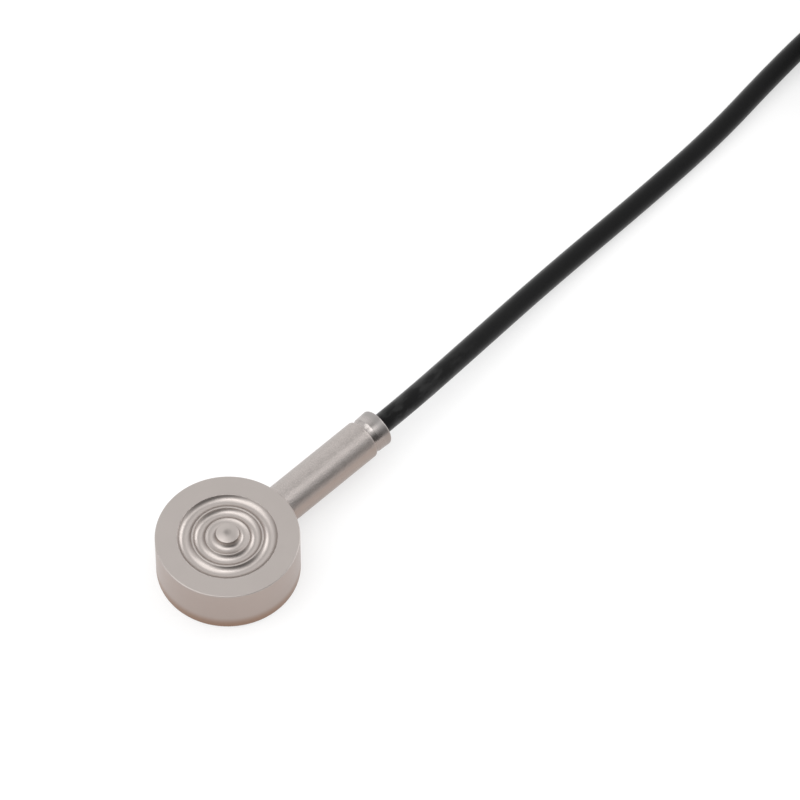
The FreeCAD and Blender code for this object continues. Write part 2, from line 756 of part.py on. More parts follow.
def cable_hank():
    """The put-away cable: the outer shape of two columns of turns, with the ends that lead in and out."""
    ring = doc.addObject("PartDesign::Body", "hank_ring")
    place(
        ring,
        f"hank_start - {HANK_HALF_WIDTH}",
        f"-hank_side - {HANK_HALF_WIDTH}",
        "tie_thickness",
    )
    sketch = new_sketch(ring, "hank_outline", "XY_Plane")
    draw_loop(sketch, slot_corners("0", HANK_HALF_WIDTH))
    draw_loop(sketch, slot_corners(f"({HANK_HALF_WIDTH} - {HANK_HALF_GAP})", HANK_HALF_GAP))
    pad = ring.newObject("PartDesign::Pad", "hank_block")
    pad.Profile = sketch
    bind(pad, "Length", HANK_HEIGHT)
    doc.recompute()
    level = [
        f"Edge{number}"
        for number, edge in enumerate(pad.Shape.Edges, start=1)
        if edge.BoundBox.ZLength < value("fit_clearance")
    ]
    rounding = ring.newObject("PartDesign::Fillet", "hank_rounding")
    rounding.Base = (pad, level)
    bind(rounding, "Radius", "hank_edge_radius")
    stubs = []
    for name, length, turn, corner in (
        ("entry_stub", ENTRY_STUB, -90, (0.0, f"{OUTER_FOLD_RADIUS} - hank_side")),
        ("tail_stub", TAIL_STUB, 90, (TAIL_START_SHIFT, "inner_fold_radius - hank_side")),
    ):
        stub = doc.addObject("Part::Cylinder", name)
        stub.Height = length
        bind(stub, "Radius", "cable_diameter / 2")
        spin = Rotation(Vector(0, 0, 1), -TAIL_ANGLE if turn > 0 else 0)
        stub.Placement = Placement(Vector(), spin * Rotation(Vector(0, 1, 0), turn))
        place(stub, f"hank_start + {corner[0]}", corner[1], FIRST_TURN_HEIGHT)
        stubs.append(stub)
    hank = new_part("Part::MultiFuse", "cable_hank")
    hank.Shapes = [ring, *stubs]
    return hank


def hank_tie(number, side):
    """A strap round one run of the hank, its lock turned to the hank's middle."""
    name = f"hank_tie_{number}"
    near = HANK_HALF_GAP if side > 0 else f"-{HANK_HALF_WIDTH}"
    run_middle = "(hank_start + hank_run / 2)"
    inside_width = f"{HANK_HALF_WIDTH} - {HANK_HALF_GAP} + 2 * fit_clearance"
    inside_height = f"{HANK_HEIGHT} + fit_clearance"
    inside = bound_box(
        f"{name}_inside",
        ("2 * tie_width", inside_width, inside_height),
        (f"{run_middle} - tie_width", f"{near} - hank_side - fit_clearance", "tie_thickness"),
    )
    strap_low = f"{near} - hank_side - fit_clearance - tie_thickness"
    outside = bound_box(
        f"{name}_outside",
        ("tie_width", f"{inside_width} + 2 * tie_thickness", f"{inside_height} + 2 * tie_thickness"),
        (f"{run_middle} - tie_width / 2", strap_low, "0"),
    )
    strap = doc.addObject("Part::Cut", f"{name}_strap")
    strap.Base = outside
    strap.Tool = inside
    lock_along = f"{near} - hank_side - fit_clearance - tie_head_depth"
    if side < 0:
        lock_along = f"{near} - hank_side - fit_clearance + {inside_width}"
    lock = bound_box(
        f"{name}_lock",
        ("tie_head", "tie_head_depth", "tie_head"),
        (f"{run_middle} - tie_head / 2", lock_along, f"{HANK_TOP} - tie_head - tie_thickness"),
    )
    tie = new_part("Part::MultiFuse", name)
    tie.Shapes = [strap, lock]
    return tie


def tail_points():
    """The tail's route: straight on from its stub, down to the surface in the middle of the hank."""
    turn = math.radians(TAIL_ANGLE)
    heading = Vector(math.cos(turn), -math.sin(turn), 0)
    root = Vector(
        value("hank_start") + TAIL_START_SHIFT,
        value("inner_fold_radius - hank_side"),
        value(FIRST_TURN_HEIGHT),
    )
    start = root + heading * TAIL_STUB
    return [start, start + heading * TAIL_RUN, Vector(*TAIL_MIDDLE), Vector(*TAIL_END)]


def cable_tail():
    """The cable's last stretch, on the surface in the middle of the hank."""
    return swept_round("cable_tail", tail_points(), value("cable_diameter"), "cable_tail")


def free_leads():
    """The stripped end: four free cores with bare tinned tips, and the screen twisted to a wire."""
    last, end = tail_points()[-2:]
    heading = (end - last).normalize()
    left = Vector(0, 0, 1).cross(heading).normalize()
    up = heading.cross(left)
    thick = value("core_diameter")
    on_floor = value("core_diameter / 2 + fit_clearance")
    leads = []
    tips = []
    for colour, side, height, *spots in LEADS:
        across, rise = core_offset(side, height)
        root = end + left * across + up * rise
        points = [root, root + heading * LEAD_EXIT_RUN]
        points += [Vector(x, y, on_floor) for x, y in spots]
        leads.append(swept_round(f"lead_{colour}", points, thick))
        bare = points[-1] - points[-2]
        tips.append(Part.makeCylinder(value("tip_diameter / 2"), value("tip_length"), points[-1], bare))
    lead_tips = new_part("Part::Feature", "lead_tips")
    lead_tips.Shape = Part.makeCompound(tips)
    root = end + up * SCREEN_RISE
    low = value("screen_wire_diameter / 2 + fit_clearance")
    points = [
        root,
        root + heading * LEAD_EXIT_RUN,
        Vector(*SCREEN_MIDDLE),
        Vector(*SCREEN_LANDING, low),
        Vector(*SCREEN_END, low),
    ]
    return [*leads, lead_tips, swept_round("lead_screen", points, value("screen_wire_diameter"))]


def sub_parts():
    """Every piece, in the order in which a bench would lay them out."""
    yield sensor_body()
    yield base_cover()
    yield terminal_board()
    yield terminal_pads()
    for number, angle in enumerate(GAUGE_ANGLES, start=1):
        yield strain_gauge(number, angle)
    yield bridge_wires()
    for number, side in enumerate((1, -1), start=1):
        yield trim_resistor(number, side)
    yield gland_tube()
    yield gland_collar()
    yield gland_sleeve(
        "gland_seal",
        "bush",
        SEAL_START,
        SEAL_END,
        f"{TUBE_BORE_RADIUS} - fit_clearance",
        f"{CABLE_RADIUS} + fit_clearance",
    )
    yield cable_clamp()
    yield gland_potting()
    yield gland_sleeve(
        "cable_jacket",
        "jacket",
        JACKET_START,
        LIP_END,
        CABLE_RADIUS,
        JACKET_BORE_RADIUS,
    )
    yield gland_sleeve(
        "cable_screen",
        "screen",
        BRAID_START,
        LIP_END,
        SCREEN_RADIUS,
        f"{SCREEN_RADIUS} - braid_wall",
    )
    for colour, side, height, count in CORES:
        yield core(colour, side, height, count)
    yield cable_run()
    yield cable_hank()
    for number, side in enumerate((1, -1), start=1):
        yield hank_tie(number, side)
    yield cable_tail()
    yield from free_leads()


parts = list(sub_parts())
doc.recompute()
for thing in doc.Objects:
    if {"Invalid", "Error"} & set(thing.State):
        raise ValueError(f"{thing.Label} did not build: {thing.State}")
for part in parts:
    if part.Shape.isNull() or not part.Shape.isValid() or not part.Shape.Solids:
        raise ValueError(f"{part.Label} has no sound solid")
    if part.TypeId == "PartDesign::Body" and len(part.Shape.Solids) > 1:
        raise ValueError(f"{part.Label} fell into {len(part.Shape.Solids)} solids")
    print(f"{part.Label}: {len(part.Shape.Solids)} solid(s), {part.Shape.Volume:.2f} mm3")

os.makedirs("parts", exist_ok=True)
for part in parts:
    part.Shape.exportStep(f"parts/{part.Label}.step")
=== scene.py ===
import math

import bmesh
import bpy
from mathutils import Matrix, Vector


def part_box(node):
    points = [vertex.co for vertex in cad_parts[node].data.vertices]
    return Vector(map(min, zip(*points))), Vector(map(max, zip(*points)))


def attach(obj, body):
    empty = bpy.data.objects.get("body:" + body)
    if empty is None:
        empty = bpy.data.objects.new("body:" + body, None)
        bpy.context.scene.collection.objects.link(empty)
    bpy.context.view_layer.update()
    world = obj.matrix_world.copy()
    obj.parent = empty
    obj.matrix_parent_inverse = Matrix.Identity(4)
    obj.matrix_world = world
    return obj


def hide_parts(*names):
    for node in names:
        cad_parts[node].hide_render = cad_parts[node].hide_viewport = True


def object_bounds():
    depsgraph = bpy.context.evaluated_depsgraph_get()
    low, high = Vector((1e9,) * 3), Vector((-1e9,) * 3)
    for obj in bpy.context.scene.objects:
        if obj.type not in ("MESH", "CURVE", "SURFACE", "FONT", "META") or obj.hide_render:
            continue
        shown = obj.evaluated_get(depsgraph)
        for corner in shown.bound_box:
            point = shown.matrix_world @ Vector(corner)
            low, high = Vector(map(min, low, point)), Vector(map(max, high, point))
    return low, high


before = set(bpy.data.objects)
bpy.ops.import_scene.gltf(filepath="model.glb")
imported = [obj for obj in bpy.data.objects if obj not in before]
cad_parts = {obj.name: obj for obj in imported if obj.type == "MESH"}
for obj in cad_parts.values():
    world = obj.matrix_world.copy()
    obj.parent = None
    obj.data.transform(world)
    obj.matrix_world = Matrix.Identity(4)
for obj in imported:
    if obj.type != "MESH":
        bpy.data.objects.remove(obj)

# Miniature compression load cell: a turned stainless disc with a corrugated diaphragm and a domed
# load button, a radial gland with a polished collar, and a black screened cable whose put-away
# length lies as a hank in line with the gland and ends in free cores.
#
# Frame: metres, origin at the centre of the base, +Z along the load, +X along the gland.

bl_info = {
    "name": "Load Cell",
    "version": (1, 0, 0),
    "blender": (4, 5, 0),
    "location": "3D View > Sidebar > Load Cell",
    "description": "Builds a miniature compression load cell round its construction model",
    "category": "Add Mesh",
}

# Corners of the boxes round the construction model and round the solids that the pieces follow
CAD_BOX = [list(corner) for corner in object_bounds()]
DISC_HIGH = Vector(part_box("sensor_body")[1])
TUBE_LOW, TUBE_HIGH = (Vector(corner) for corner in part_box("gland_tube"))
COLLAR_LOW, COLLAR_HIGH = (Vector(corner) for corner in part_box("gland_collar"))
LID_LOW, LID_HIGH = (Vector(corner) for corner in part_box("base_cover"))
TIE_BOXES = {
    name: [Vector(corner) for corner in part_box(name)] for name in ("hank_tie_1", "hank_tie_2")
}

DISC_RADIUS = DISC_HIGH.y
TUBE_RADIUS = (TUBE_HIGH.z - TUBE_LOW.z) / 2
GLAND_HEIGHT = (TUBE_HIGH.z + TUBE_LOW.z) / 2
TUBE_END = TUBE_HIGH.x
LIP_END = COLLAR_HIGH.x

# Round of a turned edge, and gap of a spigot in its bore
EDGE_ROUND, FIT_GAP = 0.00002, 0.00002


def length(name, default, description):
    """A length in metres that a user may set."""
    kind = {"min": 0.0, "precision": 5, "subtype": "DISTANCE", "unit": "LENGTH"}
    return bpy.props.FloatProperty(name=name, description=description, default=default, **kind)


def colour(name, default, description):
    """A colour that a user may set."""
    kind = {"size": 3, "min": 0.0, "max": 1.0, "subtype": "COLOR"}
    return bpy.props.FloatVectorProperty(
        name=name, description=description, default=default, **kind
    )


class LoadCellSizes(bpy.types.PropertyGroup):
    """Sizes of the turned pieces and of the cable."""

    rim_height: length("Rim height", 0.00755, "Base to the rim plane")
    rim_break: length("Rim break", 0.00012, "Rounded break of the rim's upper edge")
    base_round: length("Base round", 0.00035, "Round of the base's outer edge")
    groove_edge: length("Groove edge radius", 0.006895, "Outer edge of the outer groove")
    outer_crest: length("Outer crest radius", 0.00487, "Crest between outer and middle groove")
    inner_crest: length("Inner crest radius", 0.003015, "Crest between middle groove and dish")
    outer_land: length("Outer crest land", 0.00022, "Flat width left on the outer crest")
    inner_land: length("Inner crest land", 0.00012, "Flat width left on the inner crest")
    outer_depth: length("Outer groove depth", 0.00058, "Below the rim plane")
    middle_depth: length("Middle groove depth", 0.00056, "Below the rim plane")
    groove_brim: length("Groove brim round", 0.00006, "Round of each groove's brims")
    dish_depth: length("Dish depth", 0.00012, "Shallow dish round the button, below the rim plane")
    button_foot: length("Button foot radius", 0.00075, "Hollow round from the dish into the button")
    button_radius: length("Button radius", 0.00163, "Load button at its edge")
    button_height: length("Button height", 0.00085, "Rim plane to the button's edge")
    button_round: length("Button edge round", 0.0001, "Round of the button's edge")
    dome_rise: length("Dome rise", 0.0002, "Button's edge to the top of its dome")
    centre_mark: length("Centre mark radius", 0.00032, "Turning centre on the dome")
    centre_mark_depth: length("Centre mark depth", 0.0001, "Depth of the turning centre")
    web_thickness: length("Web thickness", 0.0015, "Rim plane to the diaphragm's underside")
    base_ring: length("Base ring", 0.0013, "Rim to the recess of the lid")
    lid_ledge: length("Lid ledge", 0.001, "Ledge that the lid lies against")
    board_ledge: length("Board ledge", 0.0005, "Ledge that the terminal board lies against")
    board_shelf: length("Board shelf height", 0.0024, "Base to the shelf over the board")
    lid_seat: length("Lid seat height", 0.0006, "Base to the lid's seat")
    tube_bore: length("Tube bore radius", 0.0024, "Inside of the gland tube")
    tube_web: length("Tube web", 0.0013, "Closed end of the tube, measured from the rim")
    spigot_radius: length("Spigot radius", 0.002, "Counterbore for the tube's spigot")
    spigot_depth: length("Spigot depth", 0.002, "Depth of that counterbore")
    passage_radius: length("Passage radius", 0.00145, "Passage for the cores")
    tube_round: length("Tube round", 0.0003, "Round of the tube's outer end")
    neck_drop: length("Collar neck drop", 0.00042, "Tube's outside down to the collar's neck")
    shoulder_drop: length("Collar shoulder drop", 0.00022, "Tube's outside down to the shoulder")
    lip_drop: length("Collar lip drop", 0.00015, "Tube's outside down to the collar's lip")
    cove_length: length("Collar cove length", 0.00085, "Neck to shoulder, along the gland")
    cove_hollow: length("Collar cove hollow", 0.00003, "Hollow between neck and shoulder")
    lip_round: length("Collar lip round", 0.0003, "Round of the collar's lip")
    collar_bore: length("Collar bore radius", 0.0016, "Inside of the collar")
    cable_diameter: length("Cable diameter", 0.00308, "Cable over its jacket")
    cable_length: length("Cable length", 1.5, "Whole cable, from the collar to its stripped end")
    core_diameter: length("Core diameter", 0.00078, "Insulated core")
    screen_diameter: length("Screen wire diameter", 0.0005, "Screen twisted to a wire")
    tip_diameter: length("Tip diameter", 0.00042, "Tinned end of a core")
    strap_thickness: length("Strap thickness", 0.0008, "Strap round the hank")


class LoadCellColours(bpy.types.PropertyGroup):
    """Colours of the finishes."""

    steel: colour("Steel", (0.47, 0.428, 0.405), "Satin stainless steel")
    blasted: colour("Blasted steel", (0.435, 0.397, 0.378), "Bead-blasted gland tube")
    polished: colour("Polished steel", (0.43, 0.4, 0.385), "Polished collar")
    jacket: colour("Jacket", (0.006, 0.006, 0.0065), "Cable's jacket")
    strap: colour("Strap", (0.02, 0.02, 0.022), "Straps of the hank")
    red: colour("Red core", (0.5, 0.02, 0.02), "Insulation of the red core")
    black: colour("Black core", (0.015, 0.015, 0.015), "Insulation of the black core")
    green: colour("Green core", (0.02, 0.25, 0.07), "Insulation of the green core")
    white: colour("White core", (0.78, 0.78, 0.75), "Insulation of the white core")
    board: colour("Board", (0.03, 0.16, 0.06), "Terminal board")
    tin: colour("Tinned copper", (0.66, 0.64, 0.6), "Tinned strands, pads and screen")
    film: colour("Gauge film", (0.62, 0.33, 0.06), "Carrier film of the gauges")


class Value:
    """A socket's value, or a number, that sums and products can be written with."""

    def __init__(self, shader, socket):
        self.shader = shader
        self.socket = socket

    def calculate(self, operation, *values, clamp=False):
        settings = {"operation": operation, "use_clamp": clamp}
        return self.shader.node("ShaderNodeMath", settings, dict(enumerate(values)))

    def __add__(self, other):
        return self.calculate("ADD", self, other)

    __radd__ = __add__

    def __sub__(self, other):
        return self.calculate("SUBTRACT", self, other)

    def __rsub__(self, other):
        return self.calculate("SUBTRACT", other, self)

    def __mul__(self, other):
        return self.calculate("MULTIPLY", self, other)

    __rmul__ = __mul__

    def __truediv__(self, other):
        return self.calculate("DIVIDE", self, other)

    def __pow__(self, other):
        return self.calculate("POWER", self, other)

    def clamped(self):
        """The same, kept between 0 and 1."""
        return self.calculate("ADD", self, 0.0, clamp=True)

    def between(self, low, high):
        """0 where the value is at low, 1 where it is at high, and smooth between them."""
        limits = {"Value": self, "From Min": low, "From Max": high}
        return self.shader.node("ShaderNodeMapRange", {"interpolation_type": "SMOOTHSTEP"}, limits)

    def sine(self):
        return self.calculate("SINE", self)


class Shader:
    """The nodes of one material, or of the world."""

    def __init__(self, name, world=None):
        self.owner = world or bpy.data.materials.new(name)
        self.owner.use_nodes = True
        self.tree = self.owner.node_tree
        self.tree.nodes.clear()

    def node(self, kind, settings=None, values=None, output=None):
        """Makes a node, with its settings first and then its sockets' values or links."""
        made = self.tree.nodes.new(kind)
        for key, setting in (settings or {}).items():
            setattr(made, key, setting)
        for key, given in (values or {}).items():
            if isinstance(key, int):
                socket = made.inputs[key]
            else:
                socket = next(s for s in made.inputs if s.enabled and s.name == key)
            if isinstance(given, Value):
                self.tree.links.new(given.socket, socket)
            else:
                socket.default_value = given
        results = [s for s in made.outputs if s.enabled and output in (None, s.name)]
        return Value(self, results[0]) if results else None

    def place(self):
        """The point's place on the piece, in metres."""
        return self.node("ShaderNodeTexCoord", output="Object")

    def axes(self):
        """The three numbers of the point's place."""
        made = self.node("ShaderNodeSeparateXYZ", values={"Vector": self.place()}).socket.node
        return [Value(self, socket) for socket in made.outputs]

    def noise(self, size, detail=3.0, stretch=None):
        """Cloudy noise, from 0 to 1, with lumps of the given size in metres."""
        vector = self.place()
        if stretch:
            vector = self.node("ShaderNodeMapping", values={"Vector": vector, "Scale": stretch})
        values = {"Vector": vector, "Scale": 1 / size, "Detail": detail}
        return self.node("ShaderNodeTexNoise", values=values)

    def rings(self, along, size, detail=3.0):
        """Noise that changes only with one number, as a lathe's marks do."""
        values = {"W": along, "Scale": 1 / size, "Detail": detail}
        return self.node("ShaderNodeTexNoise", {"noise_dimensions": "1D"}, values)

    def mix(self, share, first, second):
        """A colour between two colours."""
        colours = {"Factor": share, "A": opaque(first), "B": opaque(second)}
        return self.node("ShaderNodeMix", {"data_type": "RGBA"}, colours)

    def varied(self, share, tint, low, high):
        """A colour whose lightness goes with a share from low to high."""
        return self.mix(share, shaded(tint, low), shaded(tint, high))

    def bump(self, height, distance, normal=None):
        """A normal bent by a height from 0 to 1 that stands for the given distance in metres."""
        values = {"Height": height, "Distance": distance, "Strength": 1.0}
        if normal:
            values["Normal"] = normal
        return self.node("ShaderNodeBump", values=values)

    def finish(self, tone, roughness, normal=None, metallic=0.0, more=None):
        """Ends the material in one surface shader and returns it."""
        values = {"Base Color": tone, "Metallic": metallic, "Roughness": roughness, **(more or {})}
        if normal:
            values["Normal"] = normal
        surface = self.node("ShaderNodeBsdfPrincipled", values=values)
        self.node("ShaderNodeOutputMaterial", values={"Surface": surface})
        return self.owner


def opaque(tint):
    """A colour with its alpha, or a link as it is."""
    return tint if isinstance(tint, Value) else (*tint, 1.0)


def shaded(tint, share):
    """A colour made lighter or darker, by one share or by one for each of its three parts."""
    shares = share if isinstance(share, tuple) else (share,) * 3
    return tuple(min(1.0, part * by) for part, by in zip(tint, shares, strict=True))


def radius_about(first, second):
    """Distance from an axis, from the two coordinates across it."""
    return (first * first + second * second) ** 0.5


# What painted warm reflection and painted shade leave of the steel's red, green and blue, with the
# painted cooler shade of the duller ground band, and how dark the dome's centre is
SIDE_PAINTED_REFLECTION, FOOT_PAINTED_SHADE = (0.865, 0.785, 0.75), (0.62, 0.44, 0.335)
TUBE_PAINTED_SHADE, COLLAR_PAINTED_SHADE = (0.84, 0.75, 0.7), (0.8, 0.73, 0.69)
GROUND_BAND_PAINTED_SHADE, DOME_CENTRE_DARKENING = (0.79, 0.8, 0.81), 0.66
# Heights between which the disc's side ends and the button's dome begins, and the top of the
# painted shade at the foot
SIDE_END, DOME_START, FOOT_TOP = (0.0073, 0.0075), (0.0081, 0.0083), 0.0024


def disc_steel(tint):
    """Satin steel of the disc: lathe rings under a fine blast, a cloudy film of handling, painted
    warm reflection on the side wall, painted warm shade at the foot, and a darker centre on the
    dome.
    """
    shader = Shader("disc_satin_steel")
    x, y, z = shader.axes()
    radius = radius_about(x, y)
    marks = shader.rings(radius + z, 0.00006)
    grain = shader.noise(0.00013)
    clouds = shader.noise(0.0035)
    tone = shader.varied(clouds, tint, 0.97, 1.03)
    tone = shader.mix(0.35, tone, shader.varied(grain, tint, 0.93, 1.07))
    side = radius.between(DISC_RADIUS * 0.985, DISC_RADIUS * 0.999) * (1 - z.between(*SIDE_END))
    # Painted warm reflection: the side wall is browner than the top, standing in for a warm floor
    # reflected in it
    tone = shader.mix(side, tone, shaded(tint, SIDE_PAINTED_REFLECTION))
    # Painted shade: darker and browner towards the base, standing in for the floor's shade
    # reflected at the foot
    height = z.between(0.0, FOOT_TOP)
    tone = shader.mix(side * (1 - height * height), tone, shaded(tint, FOOT_PAINTED_SHADE))
    # The dome is darker towards its centre
    darker_dome_centre = (1 - radius.between(0.0001, 0.0008)) * z.between(*DOME_START)
    tone = shader.mix(darker_dome_centre, tone, shaded(tint, DOME_CENTRE_DARKENING))
    roughness = 0.3 + clouds * 0.05 + marks * 0.05
    normal = shader.bump(grain, 0.0000022, shader.bump(marks, 0.0000009))
    return shader.finish(tone, roughness, normal, metallic=1.0)


def painted_shade_low_on_gland(z):
    """Where the gland gets painted warm shade: its underside and lower flanks."""
    return 1 - z.between(GLAND_HEIGHT + TUBE_RADIUS * 0.3, GLAND_HEIGHT + TUBE_RADIUS * 0.78)


def gland_steel(tint):
    """Bead-blasted steel of the gland tube, with a coarser sparkle than the disc's and painted warm
    shade low on its flanks.
    """
    shader = Shader("gland_blasted_steel")
    x, _, z = shader.axes()
    grain = shader.noise(0.00016, 2.0)
    clouds = shader.noise(0.003)
    marks = shader.rings(x, 0.00012, 2.0)
    tone = shader.varied(clouds, tint, 0.96, 1.04)
    tone = shader.mix(0.5, tone, shader.varied(grain.between(0.3, 0.7), tint, 0.8, 1.2))
    # Painted warm shade on the tube's underside and lower flanks
    tone = shader.mix(painted_shade_low_on_gland(z), tone, shaded(tint, TUBE_PAINTED_SHADE))
    roughness = 0.25 + clouds * 0.05 + grain * 0.06
    normal = shader.bump(grain, 0.000046, shader.bump(marks, 0.0000012))
    return shader.finish(tone, roughness, normal, metallic=1.0)


def polished_steel(tint):
    """Polished steel of the collar, with faint rings, painted warm shade low on its flanks, and a
    duller ground band before its lip whose colour is a painted cooler shade.
    """
    shader = Shader("collar_polished_steel")
    x, y, z = shader.axes()
    marks = shader.rings(x + radius_about(y, z - GLAND_HEIGHT), 0.00005, 2.0)
    film = shader.noise(0.0012)
    tone = shader.varied(film, tint, 0.94, 1.04)
    band_end = x.between(LIP_END - 0.0003, LIP_END - 0.0001)
    # The band before the lip is rougher, and its darker, cooler colour is painted shade
    ground_band_and_shade = x.between(LIP_END - 0.0018, LIP_END - 0.0006) * (1 - band_end)
    tone = shader.mix(ground_band_and_shade, tone, shaded(tint, GROUND_BAND_PAINTED_SHADE))
    # Painted warm shade on the collar's underside and lower flanks
    tone = shader.mix(painted_shade_low_on_gland(z), tone, shaded(tint, COLLAR_PAINTED_SHADE))
    roughness = 0.2 + film * 0.06 + ground_band_and_shade * 0.12
    return shader.finish(tone, roughness, shader.bump(marks, 0.0000004), metallic=1.0)


def plastic(name, tint, roughness, grain_size, grain_depth):
    """Plain plastic or rubber with a fine grain and a little unevenness of tone and gloss."""
    shader = Shader(name)
    grain = shader.noise(grain_size)
    clouds = shader.noise(0.004)
    tone = shader.varied(clouds, tint, 0.88, 1.12)
    return shader.finish(tone, roughness + clouds * 0.1 - 0.05, shader.bump(grain, grain_depth))


def insulation(name, tint):
    """Smooth plastic of a core's insulation."""
    return plastic(name, tint, 0.35, 0.0002, 0.000002)


def jacket_plastic(tint):
    """Soft black jacket: a matt drawn skin, rubbed to a broken gloss on the gland's side."""
    shader = Shader("cable_jacket_black")
    x, _, _ = shader.axes()
    patches = shader.noise(0.0012, stretch=(0.45, 1.0, 1.0))
    clouds = shader.noise(0.0028)
    grain = shader.noise(0.00012, 2.0)
    rubbed = (1 - x.between(0.036, 0.052)) * patches.between(0.42, 0.6)
    tone = shader.varied(clouds, tint, 0.3, 0.6)
    normal = shader.bump(patches, 0.00002, shader.bump(grain, 0.000003))
    more = {"Specular IOR Level": 0.06, "Sheen Weight": 0.5, "Sheen Roughness": 0.45}
    more.update({"Coat Weight": rubbed * 0.3, "Coat Roughness": 0.4})
    return shader.finish(tone, 0.5 + clouds * 0.1, normal, more=more)


def soft_metal(name, tint, roughness, grain_size):
    """Tin, solder or brass with a fine cloudy surface."""
    shader = Shader(name)
    grain = shader.noise(grain_size)
    tone = shader.varied(grain, tint, 0.86, 1.1)
    normal = shader.bump(grain, grain_size * 0.05)
    return shader.finish(tone, roughness + grain * 0.12 - 0.06, normal, metallic=1.0)


def woven_board(tint):
    """Solder mask over glass cloth."""
    shader = Shader("board_laminate")
    x, y, _ = shader.axes()
    thread = 2 * math.pi / 0.0005
    weave = (x * thread).sine() * (y * thread).sine() * 0.5 + 0.5
    clouds = shader.noise(0.0015, 2.0)
    tone = shader.varied(weave * 0.5 + clouds * 0.5, tint, 0.8, 1.25)
    return shader.finish(tone, 0.32 + clouds * 0.1, shader.bump(weave, 0.00001))


def gauge_foil(tint, foil):
    """Foil grid on its amber film."""
    shader = Shader("gauge_foil")
    x, y, _ = shader.axes()
    grid = (radius_about(x, y) * (2 * math.pi / 0.00024)).sine().between(-0.15, 0.15)
    return shader.finish(shader.mix(grid, tint, foil), 0.3 + grid * 0.1, metallic=grid)


def braided_screen(tint):
    """Braid of tinned strands, drawn as two crossing sets of ridges."""
    shader = Shader("screen_braid")
    x, y, z = shader.axes()
    turn = y.calculate("ARCTAN2", y, z - GLAND_HEIGHT)
    left = (turn * 8 + x * 9000).sine()
    right = (turn * 8 - x * 9000).sine()
    weave = left * right * 0.5 + 0.5
    tone = shader.varied(weave, tint, 0.6, 1.0)
    return shader.finish(tone, 0.35, shader.bump(weave, 0.00004), metallic=1.0)


class Outline:
    """An outline in the XZ plane, drawn from vertex to vertex and then spun about Z."""

    def __init__(self, across, up):
        self.mesh = bmesh.new()
        self.last = self.mesh.verts.new((across, 0.0, up))

    def step(self, across, up):
        """Extrudes the last vertex to a place."""
        self.last = bmesh.ops.extrude_vert_indiv(self.mesh, verts=[self.last])["verts"][0]
        self.last.co = (across, 0.0, up)

    def line(self, across, up, hold=0.0):
        """A straight stretch, with a vertex near each end that keeps its shading flat."""
        start, end = self.last.co.copy(), Vector((across, 0.0, up))
        way = end - start
        if hold and way.length > 3 * hold:
            for spot in (start + way.normalized() * hold, end - way.normalized() * hold):
                self.step(spot.x, spot.z)
        self.step(across, up)

    def lines(self, hold, *spots):
        """Straight stretches from place to place."""
        for across, up in spots:
            self.line(across, up, hold)

    def arc(self, across, up, middle, steps):
        """Spins the last vertex about a centre (across, up) to its new place."""
        centre = Vector((middle[0], 0.0, middle[1]))
        start, end = self.last.co - centre, Vector((across, 0.0, up)) - centre
        angle = math.atan2(start.z * end.x - start.x * end.z, start.dot(end))
        spun = bmesh.ops.spin(
            self.mesh, geom=[self.last], cent=centre, axis=(0, 1, 0), angle=angle, steps=steps
        )
        self.last = next(item for item in spun["geom_last"] if isinstance(item, bmesh.types.BMVert))

    def rounded(self, across, up, radius, steps, hold=0.0):
        """A straight stretch up the outside and its rounded upper corner."""
        inside, start = across - radius, up - radius
        self.line(across, start, hold)
        self.arc(inside, up, (inside, start), steps)

    def groove(self, outside, inside, up, depth, brim):
        """A round groove in a level face, with rounded brims, drawn from its outside inwards."""
        across, middle_up = arc_centre_above(outside, inside, up, depth)
        radius = middle_up - up + depth
        reach = math.sqrt((radius + brim) ** 2 - (middle_up - up + brim) ** 2)
        share = radius / (radius + brim)
        low = middle_up + (up - brim - middle_up) * share
        self.line(across + reach, up)
        self.arc(across + reach * share, low, (across + reach, up - brim), 4)
        self.arc(across - reach * share, low, (across, middle_up), 16)
        self.arc(across - reach, up, (across - reach, up - brim), 4)

    def turned(self, steps, edge_round=0.0):
        """Spins the outline into a closed shell and rounds its edges a little."""
        line, full = self.mesh.verts[:] + self.mesh.edges[:], 2 * math.pi
        bmesh.ops.spin(
            self.mesh, geom=line, axis=(0, 0, 1), angle=full, steps=steps, use_merge=True
        )
        bmesh.ops.remove_doubles(self.mesh, verts=self.mesh.verts, dist=1e-7)
        bmesh.ops.dissolve_degenerate(self.mesh, edges=self.mesh.edges, dist=1e-8)
        bmesh.ops.recalc_face_normals(self.mesh, faces=self.mesh.faces)
        if edge_round:
            round_edges(self.mesh, corners_of(self.mesh, 25), edge_round)
        return self.mesh


def corners_of(mesh, degrees):
    """The edges of a mesh that turn by more than an angle."""
    sharp = math.radians(degrees)
    return [e for e in mesh.edges if e.is_manifold and e.calc_face_angle(0.0) > sharp]


def keep_sharp(mesh, degrees):
    """Leaves the edges that turn by an angle or more out of the smooth shading."""
    for edge in mesh.edges:
        edge.smooth = edge.calc_face_angle(0.0) < math.radians(degrees)


def round_edges(mesh, edges, offset, segments=2):
    """Rounds edges of a mesh."""
    kind = {"offset_type": "OFFSET", "profile": 0.5, "affect": "EDGES", "material": -1}
    bmesh.ops.bevel(
        mesh, geom=edges, offset=offset, segments=segments, clamp_overlap=True, **kind
    )


def arc_centre_above(start, end, up, depth):
    """Centre of the arc that sags by depth between two places of a level line."""
    half = (end - start) / 2
    radius = (half * half + depth * depth) / (2 * depth)
    return (start + half, up - depth + radius)


def put_in_scene(name, data):
    """Makes an object of its data and links it to the scene."""
    made = bpy.data.objects.new(name, data)
    bpy.context.scene.collection.objects.link(made)
    return made


